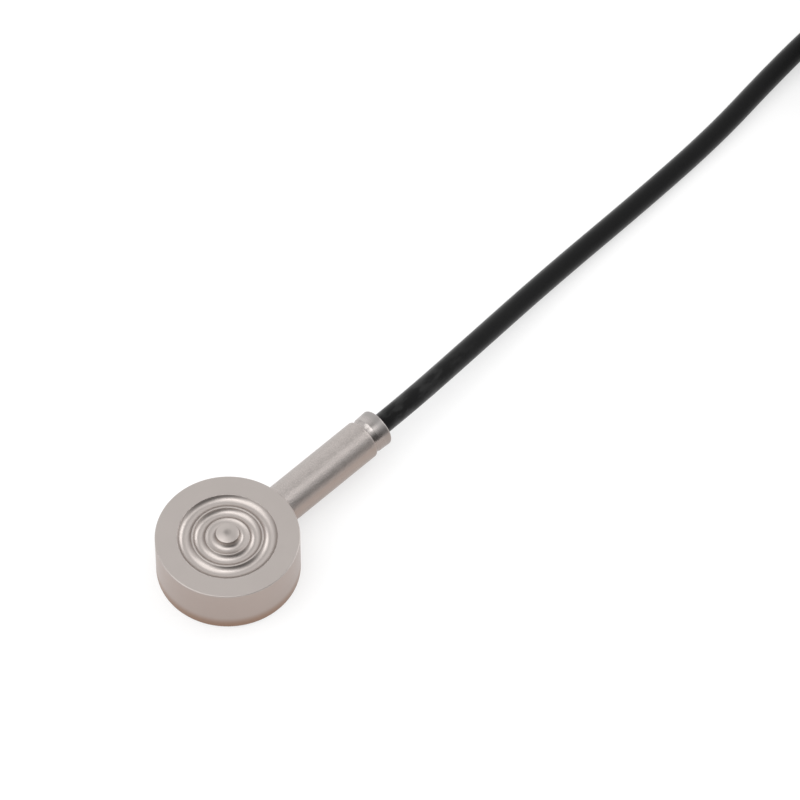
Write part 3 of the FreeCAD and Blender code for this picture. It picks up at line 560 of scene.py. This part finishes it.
def piece_from(mesh, name, material, smooth=True):
    """Turns a finished mesh into an object at the origin."""
    data = bpy.data.meshes.new(name)
    for face in mesh.faces:
        face.smooth = smooth
    mesh.to_mesh(data)
    mesh.free()
    data.materials.append(material)
    return put_in_scene(name, data)


def seat(piece, slot, *nodes):
    """Lets a piece ride on the body and hides the solids that it stands for; the name of its finish
    is not used.
    """
    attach(piece, "root")
    if nodes:
        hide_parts(*nodes)
    return piece


def lay_along_gland(mesh):
    """Turns a mesh spun about Z on to the gland's axis."""
    turn = Matrix.Rotation(math.radians(90), 4, "Y")
    lift = Matrix.Translation((0, 0, GLAND_HEIGHT))
    bmesh.ops.transform(mesh, matrix=lift @ turn, verts=mesh.verts)


def cut_away(piece, cutter):
    """Takes a cutter's shape out of a piece and removes the cutter."""
    modifier = piece.modifiers.new("cut", "BOOLEAN")
    modifier.operation = "DIFFERENCE"
    modifier.solver = "EXACT"
    modifier.object = cutter
    graph = bpy.context.evaluated_depsgraph_get()
    cut = bpy.data.meshes.new_from_object(piece.evaluated_get(graph))
    piece.modifiers.remove(modifier)
    piece.data = cut
    bpy.data.objects.remove(cutter)


class LOADCELL_OT_disc(bpy.types.Operator):
    """Turns the disc with its diaphragm and load button, and bores its side for the gland"""

    bl_idname = "loadcell.disc"
    bl_label = "Disc"

    HOLD = 0.00008

    def execute(self, context):
        sizes = context.scene.load_cell_sizes
        steel = disc_steel(context.scene.load_cell_colours.steel)
        rim, edge = sizes.rim_height, sizes.rim_height + sizes.button_height
        lid_seat_radius = DISC_RADIUS - sizes.base_ring
        board_seat_radius = lid_seat_radius - sizes.lid_ledge
        chamber_radius = board_seat_radius - sizes.board_ledge
        web = rim - sizes.web_thickness
        base_start = DISC_RADIUS - sizes.base_round

        outline = Outline(0.0, web)
        outline.lines(
            self.HOLD,
            (chamber_radius, web),
            (chamber_radius, sizes.board_shelf),
            (board_seat_radius, sizes.board_shelf),
            (board_seat_radius, sizes.lid_seat),
            (lid_seat_radius, sizes.lid_seat),
            (lid_seat_radius, 0.0),
            (base_start, 0.0),
        )
        outline.arc(DISC_RADIUS, sizes.base_round, (base_start, sizes.base_round), 8)
        outline.rounded(DISC_RADIUS, rim, sizes.rim_break, 6, self.HOLD)
        outline.line(sizes.groove_edge, rim, self.HOLD)
        outer_land, inner_land = sizes.outer_land / 2, sizes.inner_land / 2
        for start, end, depth in (
            (sizes.groove_edge, sizes.outer_crest + outer_land, sizes.outer_depth),
            (sizes.outer_crest - outer_land, sizes.inner_crest + inner_land, sizes.middle_depth),
        ):
            outline.groove(start, end, rim, depth, sizes.groove_brim)
        self.dish_and_button(outline, sizes, edge)
        disc = piece_from(outline.turned(256, EDGE_ROUND), "turned_disc", steel)

        drill = self.side_drill(sizes, chamber_radius - sizes.board_ledge)
        cut_away(disc, piece_from(drill, "side_drill", steel, smooth=False))
        seat(disc, "disc_steel", "sensor_body")
        return {"FINISHED"}

    def dish_and_button(self, outline, sizes, edge):
        """Draws the shallow dish, the hollow foot and the domed button with its turning centre."""
        face = sizes.button_radius - sizes.button_round
        dome = (face**2 + sizes.dome_rise**2) / (2 * sizes.dome_rise)
        dome_middle = edge + sizes.dome_rise - dome
        mark_up = dome_middle + math.sqrt(dome**2 - sizes.centre_mark**2)
        dish_edge = sizes.inner_crest - sizes.inner_land / 2
        foot, dish = sizes.button_radius + sizes.button_foot, sizes.rim_height - sizes.dish_depth
        dish_radius = ((dish_edge - foot) ** 2 + sizes.dish_depth**2) / (2 * sizes.dish_depth)
        foot_top = dish + sizes.button_foot
        outline.line(dish_edge, sizes.rim_height)
        outline.arc(foot, dish, (foot, dish + dish_radius), 6)
        outline.arc(sizes.button_radius, foot_top, (foot, foot_top), 12)
        outline.rounded(sizes.button_radius, edge, sizes.button_round, 5)
        outline.arc(sizes.centre_mark, mark_up, (0.0, dome_middle), 12)
        outline.line(0.0, mark_up - sizes.centre_mark_depth)

    def side_drill(self, sizes, inner_end):
        """The stepped bore for the tube's spigot and the cores."""
        spigot_start, outer_end = DISC_RADIUS - sizes.spigot_depth, DISC_RADIUS * 1.1
        bore = Outline(0.0, inner_end)
        bore.lines(
            0.0,
            (sizes.passage_radius, inner_end),
            (sizes.passage_radius, spigot_start),
            (sizes.spigot_radius, spigot_start),
            (sizes.spigot_radius, outer_end),
            (0.0, outer_end),
        )
        drill = bore.turned(64)
        lay_along_gland(drill)
        return drill


class LOADCELL_OT_base_lid(bpy.types.Operator):
    """Turns the lid of the underside, whose broken edge shows as a seam"""

    bl_idname = "loadcell.base_lid"
    bl_label = "Base lid"

    BREAK = 0.00008

    def execute(self, context):
        steel = disc_steel(context.scene.load_cell_colours.steel)
        radius = LID_HIGH.x
        outline = Outline(0.0, LID_HIGH.z)
        outline.line(radius, LID_HIGH.z, self.BREAK)
        outline.line(radius, LID_LOW.z + self.BREAK)
        outline.line(radius - self.BREAK, LID_LOW.z)
        outline.line(0.0, LID_LOW.z, self.BREAK)
        lid = piece_from(outline.turned(192, EDGE_ROUND), "base_lid", steel)
        seat(lid, "cover_steel", "base_cover")
        return {"FINISHED"}


class LOADCELL_OT_gland(bpy.types.Operator):
    """Turns the gland tube, trims it to the rim, and turns the polished collar in its end"""

    bl_idname = "loadcell.gland"
    bl_label = "Gland"

    HOLD = 0.00006
    STEPS = 128
    SHARP = 40

    def execute(self, context):
        sizes = context.scene.load_cell_sizes
        colours = context.scene.load_cell_colours
        self.tube(sizes, gland_steel(colours.blasted))
        self.collar(sizes, polished_steel(colours.polished))
        return {"FINISHED"}

    def tube(self, sizes, steel):
        spigot_start = DISC_RADIUS - sizes.spigot_depth
        inner_end = DISC_RADIUS + sizes.tube_web
        spigot = sizes.spigot_radius - FIT_GAP
        outline = Outline(sizes.passage_radius, spigot_start)
        outline.lines(0.0, (spigot, spigot_start), (spigot, DISC_RADIUS))
        outline.line(TUBE_RADIUS, DISC_RADIUS)
        outline.rounded(TUBE_RADIUS, TUBE_END, sizes.tube_round, 8, self.HOLD)
        outline.lines(
            self.HOLD,
            (sizes.tube_bore, TUBE_END),
            (sizes.tube_bore, inner_end),
            (sizes.passage_radius, inner_end),
            (sizes.passage_radius, spigot_start),
        )
        mesh = outline.turned(self.STEPS)
        lay_along_gland(mesh)
        for vert in mesh.verts:
            across = math.hypot(vert.co.y, vert.co.z - GLAND_HEIGHT)
            if abs(vert.co.x - DISC_RADIUS) < 1e-6 and across > sizes.passage_radius * 1.05:
                vert.co.x = math.sqrt(DISC_RADIUS**2 - vert.co.y**2)
        keep_sharp(mesh, self.SHARP)
        seat(piece_from(mesh, "gland_barrel", steel), "gland_steel", "gland_tube")

    def collar(self, sizes, steel):
        neck, lip = TUBE_RADIUS - sizes.neck_drop, TUBE_RADIUS - sizes.lip_drop
        shoulder, shoulder_start = TUBE_RADIUS - sizes.shoulder_drop, TUBE_END + sizes.cove_length
        spigot = sizes.tube_bore - FIT_GAP
        chord = Vector((sizes.cove_length, shoulder - neck))
        hollow = (chord.length**2 / 4 + sizes.cove_hollow**2) / (2 * sizes.cove_hollow)
        outward = Vector((-chord.y, chord.x)).normalized() * (hollow - sizes.cove_hollow)
        middle = ((neck + shoulder) / 2 + outward.y, (TUBE_END + shoulder_start) / 2 + outward.x)
        outline = Outline(sizes.collar_bore, COLLAR_LOW.x)
        outline.lines(self.HOLD, (spigot, COLLAR_LOW.x), (spigot, TUBE_END))
        outline.line(neck, TUBE_END)
        outline.arc(shoulder, shoulder_start, middle, 8)
        outline.rounded(lip, LIP_END, sizes.lip_round, 8, self.HOLD)
        outline.lines(self.HOLD, (sizes.collar_bore, LIP_END), (sizes.collar_bore, COLLAR_LOW.x))
        mesh = outline.turned(self.STEPS)
        lay_along_gland(mesh)
        keep_sharp(mesh, self.SHARP)
        seat(piece_from(mesh, "polished_collar", steel), "collar_steel", "gland_collar")


# The cable's route. It runs straight out of the collar, swings a little to the left as it sinks,
# and rises on to the hank's lowest turn.
ROUTE = [
    (0.0290, 0.0, 0.00456),
    (0.0355, 0.0, 0.00456),
    (0.0475, 0.00092, 0.00375),
    (0.0650, 0.0025, 0.0022),
    (0.0860, 0.00315, 0.0016),
    (0.1010, 0.0038, 0.0017),
    (0.1140, 0.0054, 0.0021),
    (0.1260, 0.0064, 0.00235),
]
# The hank: where its runs begin and end, its middle, the folds' radii, and the height of its layers
HANK_START, HANK_END, HANK_MIDDLE = 0.135, 0.197, -0.006
FOLD_RADII = {"outer": 0.0124, "inner": 0.0093}
LAYER, FIRST_LAYER = 0.0031, 0.00235
# Column and layer of each turn, and of the stretch that the last turn hands over to
TURNS = [("outer", layer) for layer in (0, 1, 2, 3)] + [("inner", layer) for layer in (3, 2, 1)]
LAST_STRETCH = ("inner", 0)
# Control points of each fold, and the places of those along each run
FOLD_POINTS, RUN_SHARES = 6, (0.3, 0.7)
# The last stretch, which leaves the hank at a slant and turns to where the jacket ends
TAIL_ROOT = Vector((0.137, 0.0033, 0.00235))
TAIL_HEADING = Vector((math.cos(math.radians(14)), -math.sin(math.radians(14)), 0))
TAIL_STUB, TAIL_RUN = 0.013, 0.007
TAIL_MIDDLE, TAIL_END = Vector((0.1655, -0.0034, 0.00175)), Vector((0.173, -0.0045, 0.0016))


def fold_points(centre, first_angle, radius, shrink, up, rise):
    """Control points of a fold's half turn, which may shrink and rise on its way."""
    points = []
    step = math.pi / FOLD_POINTS
    reach = 1 / math.cos(step / 2)
    for number in range(FOLD_POINTS):
        turned = (number + 0.5) / FOLD_POINTS
        share = turned * turned * (3 - 2 * turned)
        angle = first_angle - (number + 0.5) * step
        here = (radius + shrink * share) * reach
        x, y = centre + math.cos(angle) * here, HANK_MIDDLE + math.sin(angle) * here
        points.append((x, y, up + rise * share))
    return points


def hank_points():
    """Control points of the hank: up the outer column, across at the top, down the inner one."""
    points = []
    runs = [HANK_START + share * (HANK_END - HANK_START) for share in RUN_SHARES]
    following = [*TURNS[1:], LAST_STRETCH]
    for (column, layer), (next_column, next_layer) in zip(TURNS, following, strict=True):
        radius, up = FOLD_RADII[column], FIRST_LAYER + layer * LAYER
        points += [(along, HANK_MIDDLE + radius, up) for along in runs]
        points += fold_points(HANK_END, math.pi / 2, radius, 0.0, up, 0.0)
        points += [(along, HANK_MIDDLE - radius, up) for along in reversed(runs)]
        rise = FIRST_LAYER + next_layer * LAYER - up
        shrink = FOLD_RADII[next_column] - radius
        points += fold_points(HANK_START, -math.pi / 2, radius, shrink, up, rise)
    return points


def empty_curve(name):
    """A curve in space that has no line yet."""
    data = bpy.data.curves.new(name, "CURVE")
    data.dimensions = "3D"
    return data


def rounded_cord(name, data, radius, material, steps, sides):
    """Gives a curve its round thickness and its material, and puts it in the scene."""
    data.resolution_u = steps
    data.bevel_depth = radius
    data.bevel_resolution = sides
    data.use_fill_caps = True
    data.materials.append(material)
    return put_in_scene(name, data)


def cord_curve(name, points, thickness, material):
    """A round cord whose line is one smooth spline with the given control points."""
    data = empty_curve(name)
    spline = data.splines.new("NURBS")
    spline.points.add(len(points) - 1)
    for point, spot in zip(spline.points, points, strict=True):
        point.co = (*spot, 1.0)
    spline.order_u = 3
    spline.use_endpoint_u = True
    return rounded_cord(name, data, thickness / 2, material, 8, 6)


def line_of(piece):
    """The points of a cord's own line, in order."""
    bare = piece.copy()
    bare.data = piece.data.copy()
    bare.data.bevel_depth = 0.0
    bpy.context.scene.collection.objects.link(bare)
    graph = bpy.context.evaluated_depsgraph_get()
    mesh = bpy.data.meshes.new_from_object(bare.evaluated_get(graph))
    spots = [vert.co.copy() for vert in mesh.vertices]
    bpy.data.objects.remove(bare)
    bpy.data.meshes.remove(mesh)
    return spots


def beside_and_above(heading):
    """The directions to the left of a heading and above it."""
    left = Vector((0, 0, 1)).cross(heading).normalized()
    return left, heading.cross(left)


def twisted_strands(curve, line, strand_radius, count, pitch):
    """Adds splines that wind about a line as the strands of a wire."""
    travelled = [0.0]
    for here, there in zip(line, line[1:]):
        travelled.append(travelled[-1] + (there - here).length)
    steps = max(2, int(travelled[-1] / pitch * 10))
    for strand in range(count):
        spline = curve.splines.new("NURBS")
        spline.points.add(steps)
        for number, point in enumerate(spline.points):
            distance = travelled[-1] * number / steps
            spot = next(i for i in range(1, len(line)) if travelled[i] >= distance - 1e-9)
            share = (distance - travelled[spot - 1]) / (travelled[spot] - travelled[spot - 1])
            left, up = beside_and_above((line[spot] - line[spot - 1]).normalized())
            angle = 2 * math.pi * (distance / pitch + strand / count)
            across = (left * math.cos(angle) + up * math.sin(angle)) * strand_radius
            point.co = (*(line[spot - 1].lerp(line[spot], share) + across), 1.0)
        spline.order_u = 3
        spline.use_endpoint_u = True


class LOADCELL_OT_cable(bpy.types.Operator):
    """Lays the cable from the collar through its hank to the stripped end, with its free cores"""

    bl_idname = "loadcell.cable"
    bl_label = "Cable"

    # Each core: colour, place in the cable (left and up), and where it lands, bends and ends
    CORES = (
        ("green", 1, -1, (0.1790, -0.0040), (0.1865, -0.0028), (0.1970, -0.0020)),
        ("white", -1, -1, (0.1790, -0.0064), (0.1860, -0.0084), (0.1965, -0.0102)),
        ("red", 1, 1, (0.1825, -0.0049), (0.1890, -0.0045), (0.1950, -0.0040)),
        ("black", -1, 1, (0.1825, -0.0064), (0.1895, -0.0071), (0.1980, -0.0076)),
    )
    CORE_OFFSET = 0.00046
    EXIT_RUN = 0.0035
    SCREEN = ((0.1825, -0.0056, 0.0017), (0.1890, -0.0058, 0.00027), (0.1960, -0.0060, 0.00027))
    SCREEN_RISE = 0.00105
    FLOOR_GAP = 0.00002
    TIP_LENGTH, TIP_OVERLAP = 0.004, 0.0003
    TIP_STRANDS, TIP_PITCH = 6, 0.0045
    SCREEN_STRANDS, SCREEN_PITCH = 5, 0.003

    def execute(self, context):
        sizes = context.scene.load_cell_sizes
        colours = context.scene.load_cell_colours
        start = TAIL_ROOT + TAIL_HEADING * TAIL_STUB
        tail = [TAIL_ROOT, start, start + TAIL_HEADING * TAIL_RUN, TAIL_MIDDLE, TAIL_END]
        points = [*ROUTE, *hank_points(), *[tuple(spot) for spot in tail]]
        jacket = jacket_plastic(colours.jacket)
        cable = cord_curve("signal_cable", points, sizes.cable_diameter, jacket)
        seat(cable, "jacket", "cable_run", "cable_hank", "cable_tail")
        ends = self.stripped_end(sizes, colours)
        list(hank_straps(sizes, colours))
        return {"FINISHED"}

    def stripped_end(self, sizes, colours):
        """The free cores with their tinned tips, and the screen twisted to a wire."""
        heading = (TAIL_END - TAIL_MIDDLE).normalized()
        left, up = beside_and_above(heading)
        low = sizes.core_diameter / 2 + self.FLOOR_GAP
        tip_strand, screen_strand = sizes.tip_diameter / 3, sizes.screen_diameter / 4
        tin = soft_metal("tinned_strands", colours.tin, 0.3, 0.0001)
        tips = empty_curve("tinned_tips")
        made = []
        for name, side, rise, *spots in self.CORES:
            root = TAIL_END + (left * side + up * rise) * self.CORE_OFFSET
            lying = [Vector((x, y, low)) for x, y in spots]
            points = [root, root + heading * self.EXIT_RUN, *lying]
            skin = insulation(f"insulation_{name}", getattr(colours, name))
            core = cord_curve(f"core_{name}_free", points, sizes.core_diameter, skin)
            made.append(seat(core, f"insulation_{name}", f"lead_{name}"))
            bare = (points[-1] - points[-2]).normalized()
            line = [points[-1] - bare * self.TIP_OVERLAP, points[-1] + bare * self.TIP_LENGTH]
            twisted_strands(tips, line, tip_strand, self.TIP_STRANDS, self.TIP_PITCH)
        made.append(self.strands(tips, "tinned_tips", tip_strand, tin, "lead_tips"))
        root = TAIL_END + up * self.SCREEN_RISE
        route = [root, root + heading * self.EXIT_RUN, *[Vector(spot) for spot in self.SCREEN]]
        guide = cord_curve("screen_guide", route, sizes.screen_diameter, tin)
        line = line_of(guide)
        bpy.data.objects.remove(guide)
        screen = empty_curve("screen_wire")
        twisted_strands(screen, line, screen_strand, self.SCREEN_STRANDS, self.SCREEN_PITCH)
        made.append(self.strands(screen, "screen_wire", screen_strand, tin, "lead_screen"))
        return made

    def strands(self, data, name, radius, material, node):
        """Finishes a bundle of strands as one piece."""
        return seat(rounded_cord(name, data, radius, material, 3, 2), "tinned_copper", node)


def block(low, high):
    """A box between two corners."""
    mesh = bmesh.new()
    bmesh.ops.create_cube(mesh, size=1.0)
    bmesh.ops.scale(mesh, vec=high - low, verts=mesh.verts)
    bmesh.ops.translate(mesh, vec=(low + high) / 2, verts=mesh.verts)
    return mesh


# The straps' bands and locks, and the slots pressed into the locks
STRAP_WIDTH, STRAP_ROUND, STRAP_BREAK = 0.0026, 0.0021, 0.00015
LOCK_SIDE, LOCK_DEPTH, LOCK_ROUND = 0.0034, 0.0022, 0.00035
SLOT_BORDER, SLOT_WALL, SLOT_DEPTH = 0.0005, 0.00008, 0.00035
# From this share of its length along an axis on, a direction counts as lying along it
ALONG = 0.9


def hank_straps(sizes, colours):
    """The two straps round the hank, each a rounded band with its lock."""
    nylon = plastic("strap_nylon", colours.strap, 0.42, 0.0003, 0.000006)
    straps = []
    for number, (node, (low, high)) in enumerate(TIE_BOXES.items(), start=1):
        strap = hank_strap(f"strap_{number}", low, high, sizes, nylon, number == 1)
        straps.append(seat(strap, "strap", node))
    return straps


def hank_strap(name, low, high, sizes, material, lock_right):
    """One strap: a band round the run, and a slotted lock on the side of the hank's middle."""
    middle, half = (low.x + high.x) / 2, STRAP_WIDTH / 2
    lock_room = LOCK_DEPTH - sizes.strap_thickness
    near, far = (low.y + lock_room, high.y) if lock_right else (low.y, high.y - lock_room)
    band = block(Vector((middle - half, near, low.z)), Vector((middle + half, far, high.z)))
    ends = [face for face in band.faces if abs(face.normal.x) > ALONG]
    bmesh.ops.delete(band, geom=ends, context="FACES_ONLY")
    ways = {e: (e.verts[0].co - e.verts[1].co).normalized() for e in band.edges}
    round_edges(band, [e for e, way in ways.items() if abs(way.x) > ALONG], STRAP_ROUND, 8)
    bmesh.ops.recalc_face_normals(band, faces=band.faces)
    bmesh.ops.solidify(band, geom=band.faces, thickness=sizes.strap_thickness)
    round_edges(band, corners_of(band, 60), STRAP_BREAK, 2)

    lock_low = Vector((middle - LOCK_SIDE / 2, low.y if lock_right else high.y - LOCK_DEPTH, 0))
    lock_low.z = high.z - 2 * sizes.strap_thickness - LOCK_SIDE
    lock = block(lock_low, lock_low + Vector((LOCK_SIDE, LOCK_DEPTH, LOCK_SIDE)))
    round_edges(lock, lock.edges[:], LOCK_ROUND, 3)
    out = -1 if lock_right else 1
    sides = [f for f in lock.faces if abs(f.normal.z) > ALONG or f.normal.y * out > ALONG]
    slots = [f for f in sides if f.calc_area() > (LOCK_SIDE * LOCK_DEPTH) * 0.3]
    bmesh.ops.inset_individual(lock, faces=slots, thickness=SLOT_BORDER, depth=0.0)
    bmesh.ops.inset_individual(lock, faces=slots, thickness=SLOT_WALL, depth=-SLOT_DEPTH)
    joined = bpy.data.meshes.new("lock")
    lock.to_mesh(joined)
    lock.free()
    band.from_mesh(joined)
    bpy.data.meshes.remove(joined)
    keep_sharp(band, 50)
    return piece_from(band, name, material)


class LOADCELL_OT_inner_pieces(bpy.types.Operator):
    """Gives the pieces inside the disc and the gland their finishes"""

    bl_idname = "loadcell.inner_pieces"
    bl_label = "Inner pieces"

    def execute(self, context):
        colours = context.scene.load_cell_colours
        tin = soft_metal("inner_tin", colours.tin, 0.32, 0.00015)
        foil = gauge_foil(colours.film, (0.62, 0.42, 0.3))
        dark = plastic("resistor_glaze", (0.02, 0.02, 0.025), 0.25, 0.0003, 0.000002)
        finishes = {
            "terminal_board": woven_board(colours.board),
            "terminal_pads": tin,
            "bridge_wires": tin,
            "cable_screen": braided_screen(colours.tin),
            "gland_seal": plastic("seal_rubber", (0.02, 0.02, 0.02), 0.7, 0.0003, 0.00001),
            "cable_clamp": soft_metal("clamp_brass", (0.68, 0.5, 0.22), 0.3, 0.0004),
            "gland_potting": plastic("resin", (0.03, 0.026, 0.022), 0.3, 0.0008, 0.00001),
            "cable_jacket": jacket_plastic(colours.jacket),
        }
        finishes.update({f"strain_gauge_{number}": foil for number in range(1, 5)})
        finishes.update({f"trim_resistor_{number}": dark for number in (1, 2)})
        for name in ("red", "black", "green", "white"):
            skin = insulation(f"inner_insulation_{name}", getattr(colours, name))
            finishes[f"core_{name}"] = skin
        for node, material in finishes.items():
            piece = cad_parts[node]
            piece.data.materials.clear()
            piece.data.materials.append(material)
        return {"FINISHED"}


class LOADCELL_OT_stage(bpy.types.Operator):
    """Sets the pale floor, the room with its darker parts, the lamps and the camera"""

    bl_idname = "loadcell.stage"
    bl_label = "Stage"

    CAMERA_AZIMUTH, CAMERA_ELEVATION = math.radians(-44.62), math.radians(55.052)
    CAMERA_DISTANCE = 0.96567
    CAMERA_TARGET = Vector((0.033172, -0.000110, 0.0070))
    CAMERA_LENS, CAMERA_SENSOR = 312.0, 36.0
    FLOOR_SIZE, FLOOR_GAP = 12.0, 0.00001
    FLOOR_COLOUR = 0.4
    FLOOR_GLOW = 0.62
    WORLD_LIGHT = 0.95
    WHITE = (1, 1, 1, 1)
    # Directions in the room are fixed: right, away and up, for one who stands where the photo was
    # taken. Darker parts of the room, or brighter ones where the depth is below zero: direction,
    # cosines of the angles where each begins and is full, depth
    ROOM_SIDES = (
        ((0.65, -0.72, 0.25), 0.56, 0.92, 0.85),
        ((-0.05, -0.985, 0.12), 0.70, 0.98, 0.88),
        ((-0.85, 0.50, 0.08), 0.85, 0.99, 0.30),
        ((0.24, 0.34, 0.91), 0.93, 0.995, 0.4),
        ((-0.30, 0.88, 0.36), 0.75, 0.97, -0.25),
    )
    # Each lamp: name, direction, width, height, watts
    LAMPS = (
        ("window_right", (0.70, 0.44, 0.565), 0.5, 0.46, 1.3),
        ("window_above", (-0.08, -0.37, 0.925), 0.42, 0.36, 0.85),
        ("window_ridge", (0.46, 0.02, 0.89), 0.3, 0.3, 0.16),
        ("window_left", (-0.36, 0.08, 0.93), 0.5, 0.5, 0.9),
        ("window_near", (-0.62, -0.32, 0.72), 0.5, 0.4, 0.8),
        ("window_cove", (0.10, -0.15, 0.98), 0.24, 0.2, 0.15),
    )
    LAMP_DISTANCE = 0.9

    def execute(self, context):
        context.scene.view_settings.view_transform = "Standard"
        self.world(context)
        self.floor()
        for lamp in self.LAMPS:
            self.lamp(*lamp)
        self.camera(context)
        return {"FINISHED"}

    def room_way(self, direction):
        """A direction in the room as one in the scene."""
        turn = Matrix.Rotation(self.CAMERA_AZIMUTH, 3, "Z")
        return (turn @ Vector(direction)).normalized()

    def world(self, context):
        context.scene.world = bpy.data.worlds.new("studio_room")
        shader = Shader("studio_room", context.scene.world)
        way = shader.node("ShaderNodeTexCoord", output="Generated")
        dot = {"operation": "DOT_PRODUCT"}
        light = self.WORLD_LIGHT
        for direction, edge, core, depth in self.ROOM_SIDES:
            ends = {0: way, 1: self.room_way(direction)}
            facing = shader.node("ShaderNodeVectorMath", dot, ends, "Value")
            share = ((facing - edge) / (core - edge)).clamped()
            light = (1 - share * share * depth) * light
        sky = shader.node("ShaderNodeBackground", values={"Color": self.WHITE, "Strength": light})
        shader.node("ShaderNodeOutputWorld", values={"Surface": sky})

    def floor(self):
        shader = Shader("pale_floor")
        rays = shader.node("ShaderNodeLightPath").socket.node
        seen = Value(shader, rays.outputs["Is Camera Ray"])
        for name in ("Is Glossy Ray", "Is Transmission Ray"):
            seen = (seen + Value(shader, rays.outputs[name])).clamped()
        tint = (self.FLOOR_COLOUR,) * 3
        paper = shader.node("ShaderNodeBsdfDiffuse", values={"Color": opaque(tint)})
        glow_values = {"Color": self.WHITE, "Strength": seen * self.FLOOR_GLOW}
        glow = shader.node("ShaderNodeEmission", values=glow_values)
        both = shader.node("ShaderNodeAddShader", values={0: paper, 1: glow})
        shader.node("ShaderNodeOutputMaterial", values={"Surface": both})
        mesh = bmesh.new()
        bmesh.ops.create_grid(mesh, x_segments=1, y_segments=1, size=self.FLOOR_SIZE / 2)
        low = CAD_BOX[0][2] - self.FLOOR_GAP
        bmesh.ops.translate(mesh, vec=(0, 0, low), verts=mesh.verts)
        piece_from(mesh, "floor", shader.owner, smooth=False)

    def lamp(self, name, direction, width, height, power):
        data = bpy.data.lights.new(name, "AREA")
        data.shape = "RECTANGLE"
        data.size, data.size_y = width, height
        data.energy = power
        lamp = put_in_scene(name, data)
        way = self.room_way(direction)
        turn = way.to_track_quat("Z", "Y").to_matrix().to_4x4()
        lamp.matrix_world = Matrix.Translation(way * self.LAMP_DISTANCE) @ turn
        lamp.visible_camera = False

    def camera(self, context):
        data = bpy.data.cameras.new("camera")
        data.lens, data.sensor_width = self.CAMERA_LENS, self.CAMERA_SENSOR
        data.clip_start, data.clip_end = 0.01, 100.0
        camera = put_in_scene("camera", data)
        azimuth, elevation = self.CAMERA_AZIMUTH, self.CAMERA_ELEVATION
        level = math.cos(elevation)
        back = Vector((math.sin(azimuth) * level, -math.cos(azimuth) * level, math.sin(elevation)))
        camera.location = self.CAMERA_TARGET + back * self.CAMERA_DISTANCE
        camera.rotation_mode = "QUATERNION"
        camera.rotation_quaternion = (-back).to_track_quat("-Z", "Y")
        context.scene.camera = camera


class LOADCELL_PT_panel(bpy.types.Panel):
    """Lists the steps that build the load cell, and its sizes and colours"""

    bl_idname = "LOADCELL_PT_panel"
    bl_label = "Load Cell"
    bl_space_type = "VIEW_3D"
    bl_region_type = "UI"
    bl_category = "Load Cell"

    def draw(self, context):
        for operator in OPERATORS:
            self.layout.operator(operator.bl_idname)
        for group in (context.scene.load_cell_sizes, context.scene.load_cell_colours):
            column = self.layout.column(align=True)
            for name in group.__annotations__:
                column.prop(group, name)


OPERATORS = (
    LOADCELL_OT_disc,
    LOADCELL_OT_base_lid,
    LOADCELL_OT_gland,
    LOADCELL_OT_cable,
    LOADCELL_OT_inner_pieces,
    LOADCELL_OT_stage,
)
CLASSES = (LoadCellSizes, LoadCellColours, *OPERATORS, LOADCELL_PT_panel)


def register():
    for cls in CLASSES:
        bpy.utils.register_class(cls)
    bpy.types.Scene.load_cell_sizes = bpy.props.PointerProperty(type=LoadCellSizes)
    bpy.types.Scene.load_cell_colours = bpy.props.PointerProperty(type=LoadCellColours)


def unregister():
    del bpy.types.Scene.load_cell_colours
    del bpy.types.Scene.load_cell_sizes
    for cls in reversed(CLASSES):
        bpy.utils.unregister_class(cls)


def main():
    register()
    for operator in OPERATORS:
        group, name = operator.bl_idname.split(".")
        getattr(getattr(bpy.ops, group), name)()


if __name__ == "__main__":
    main()
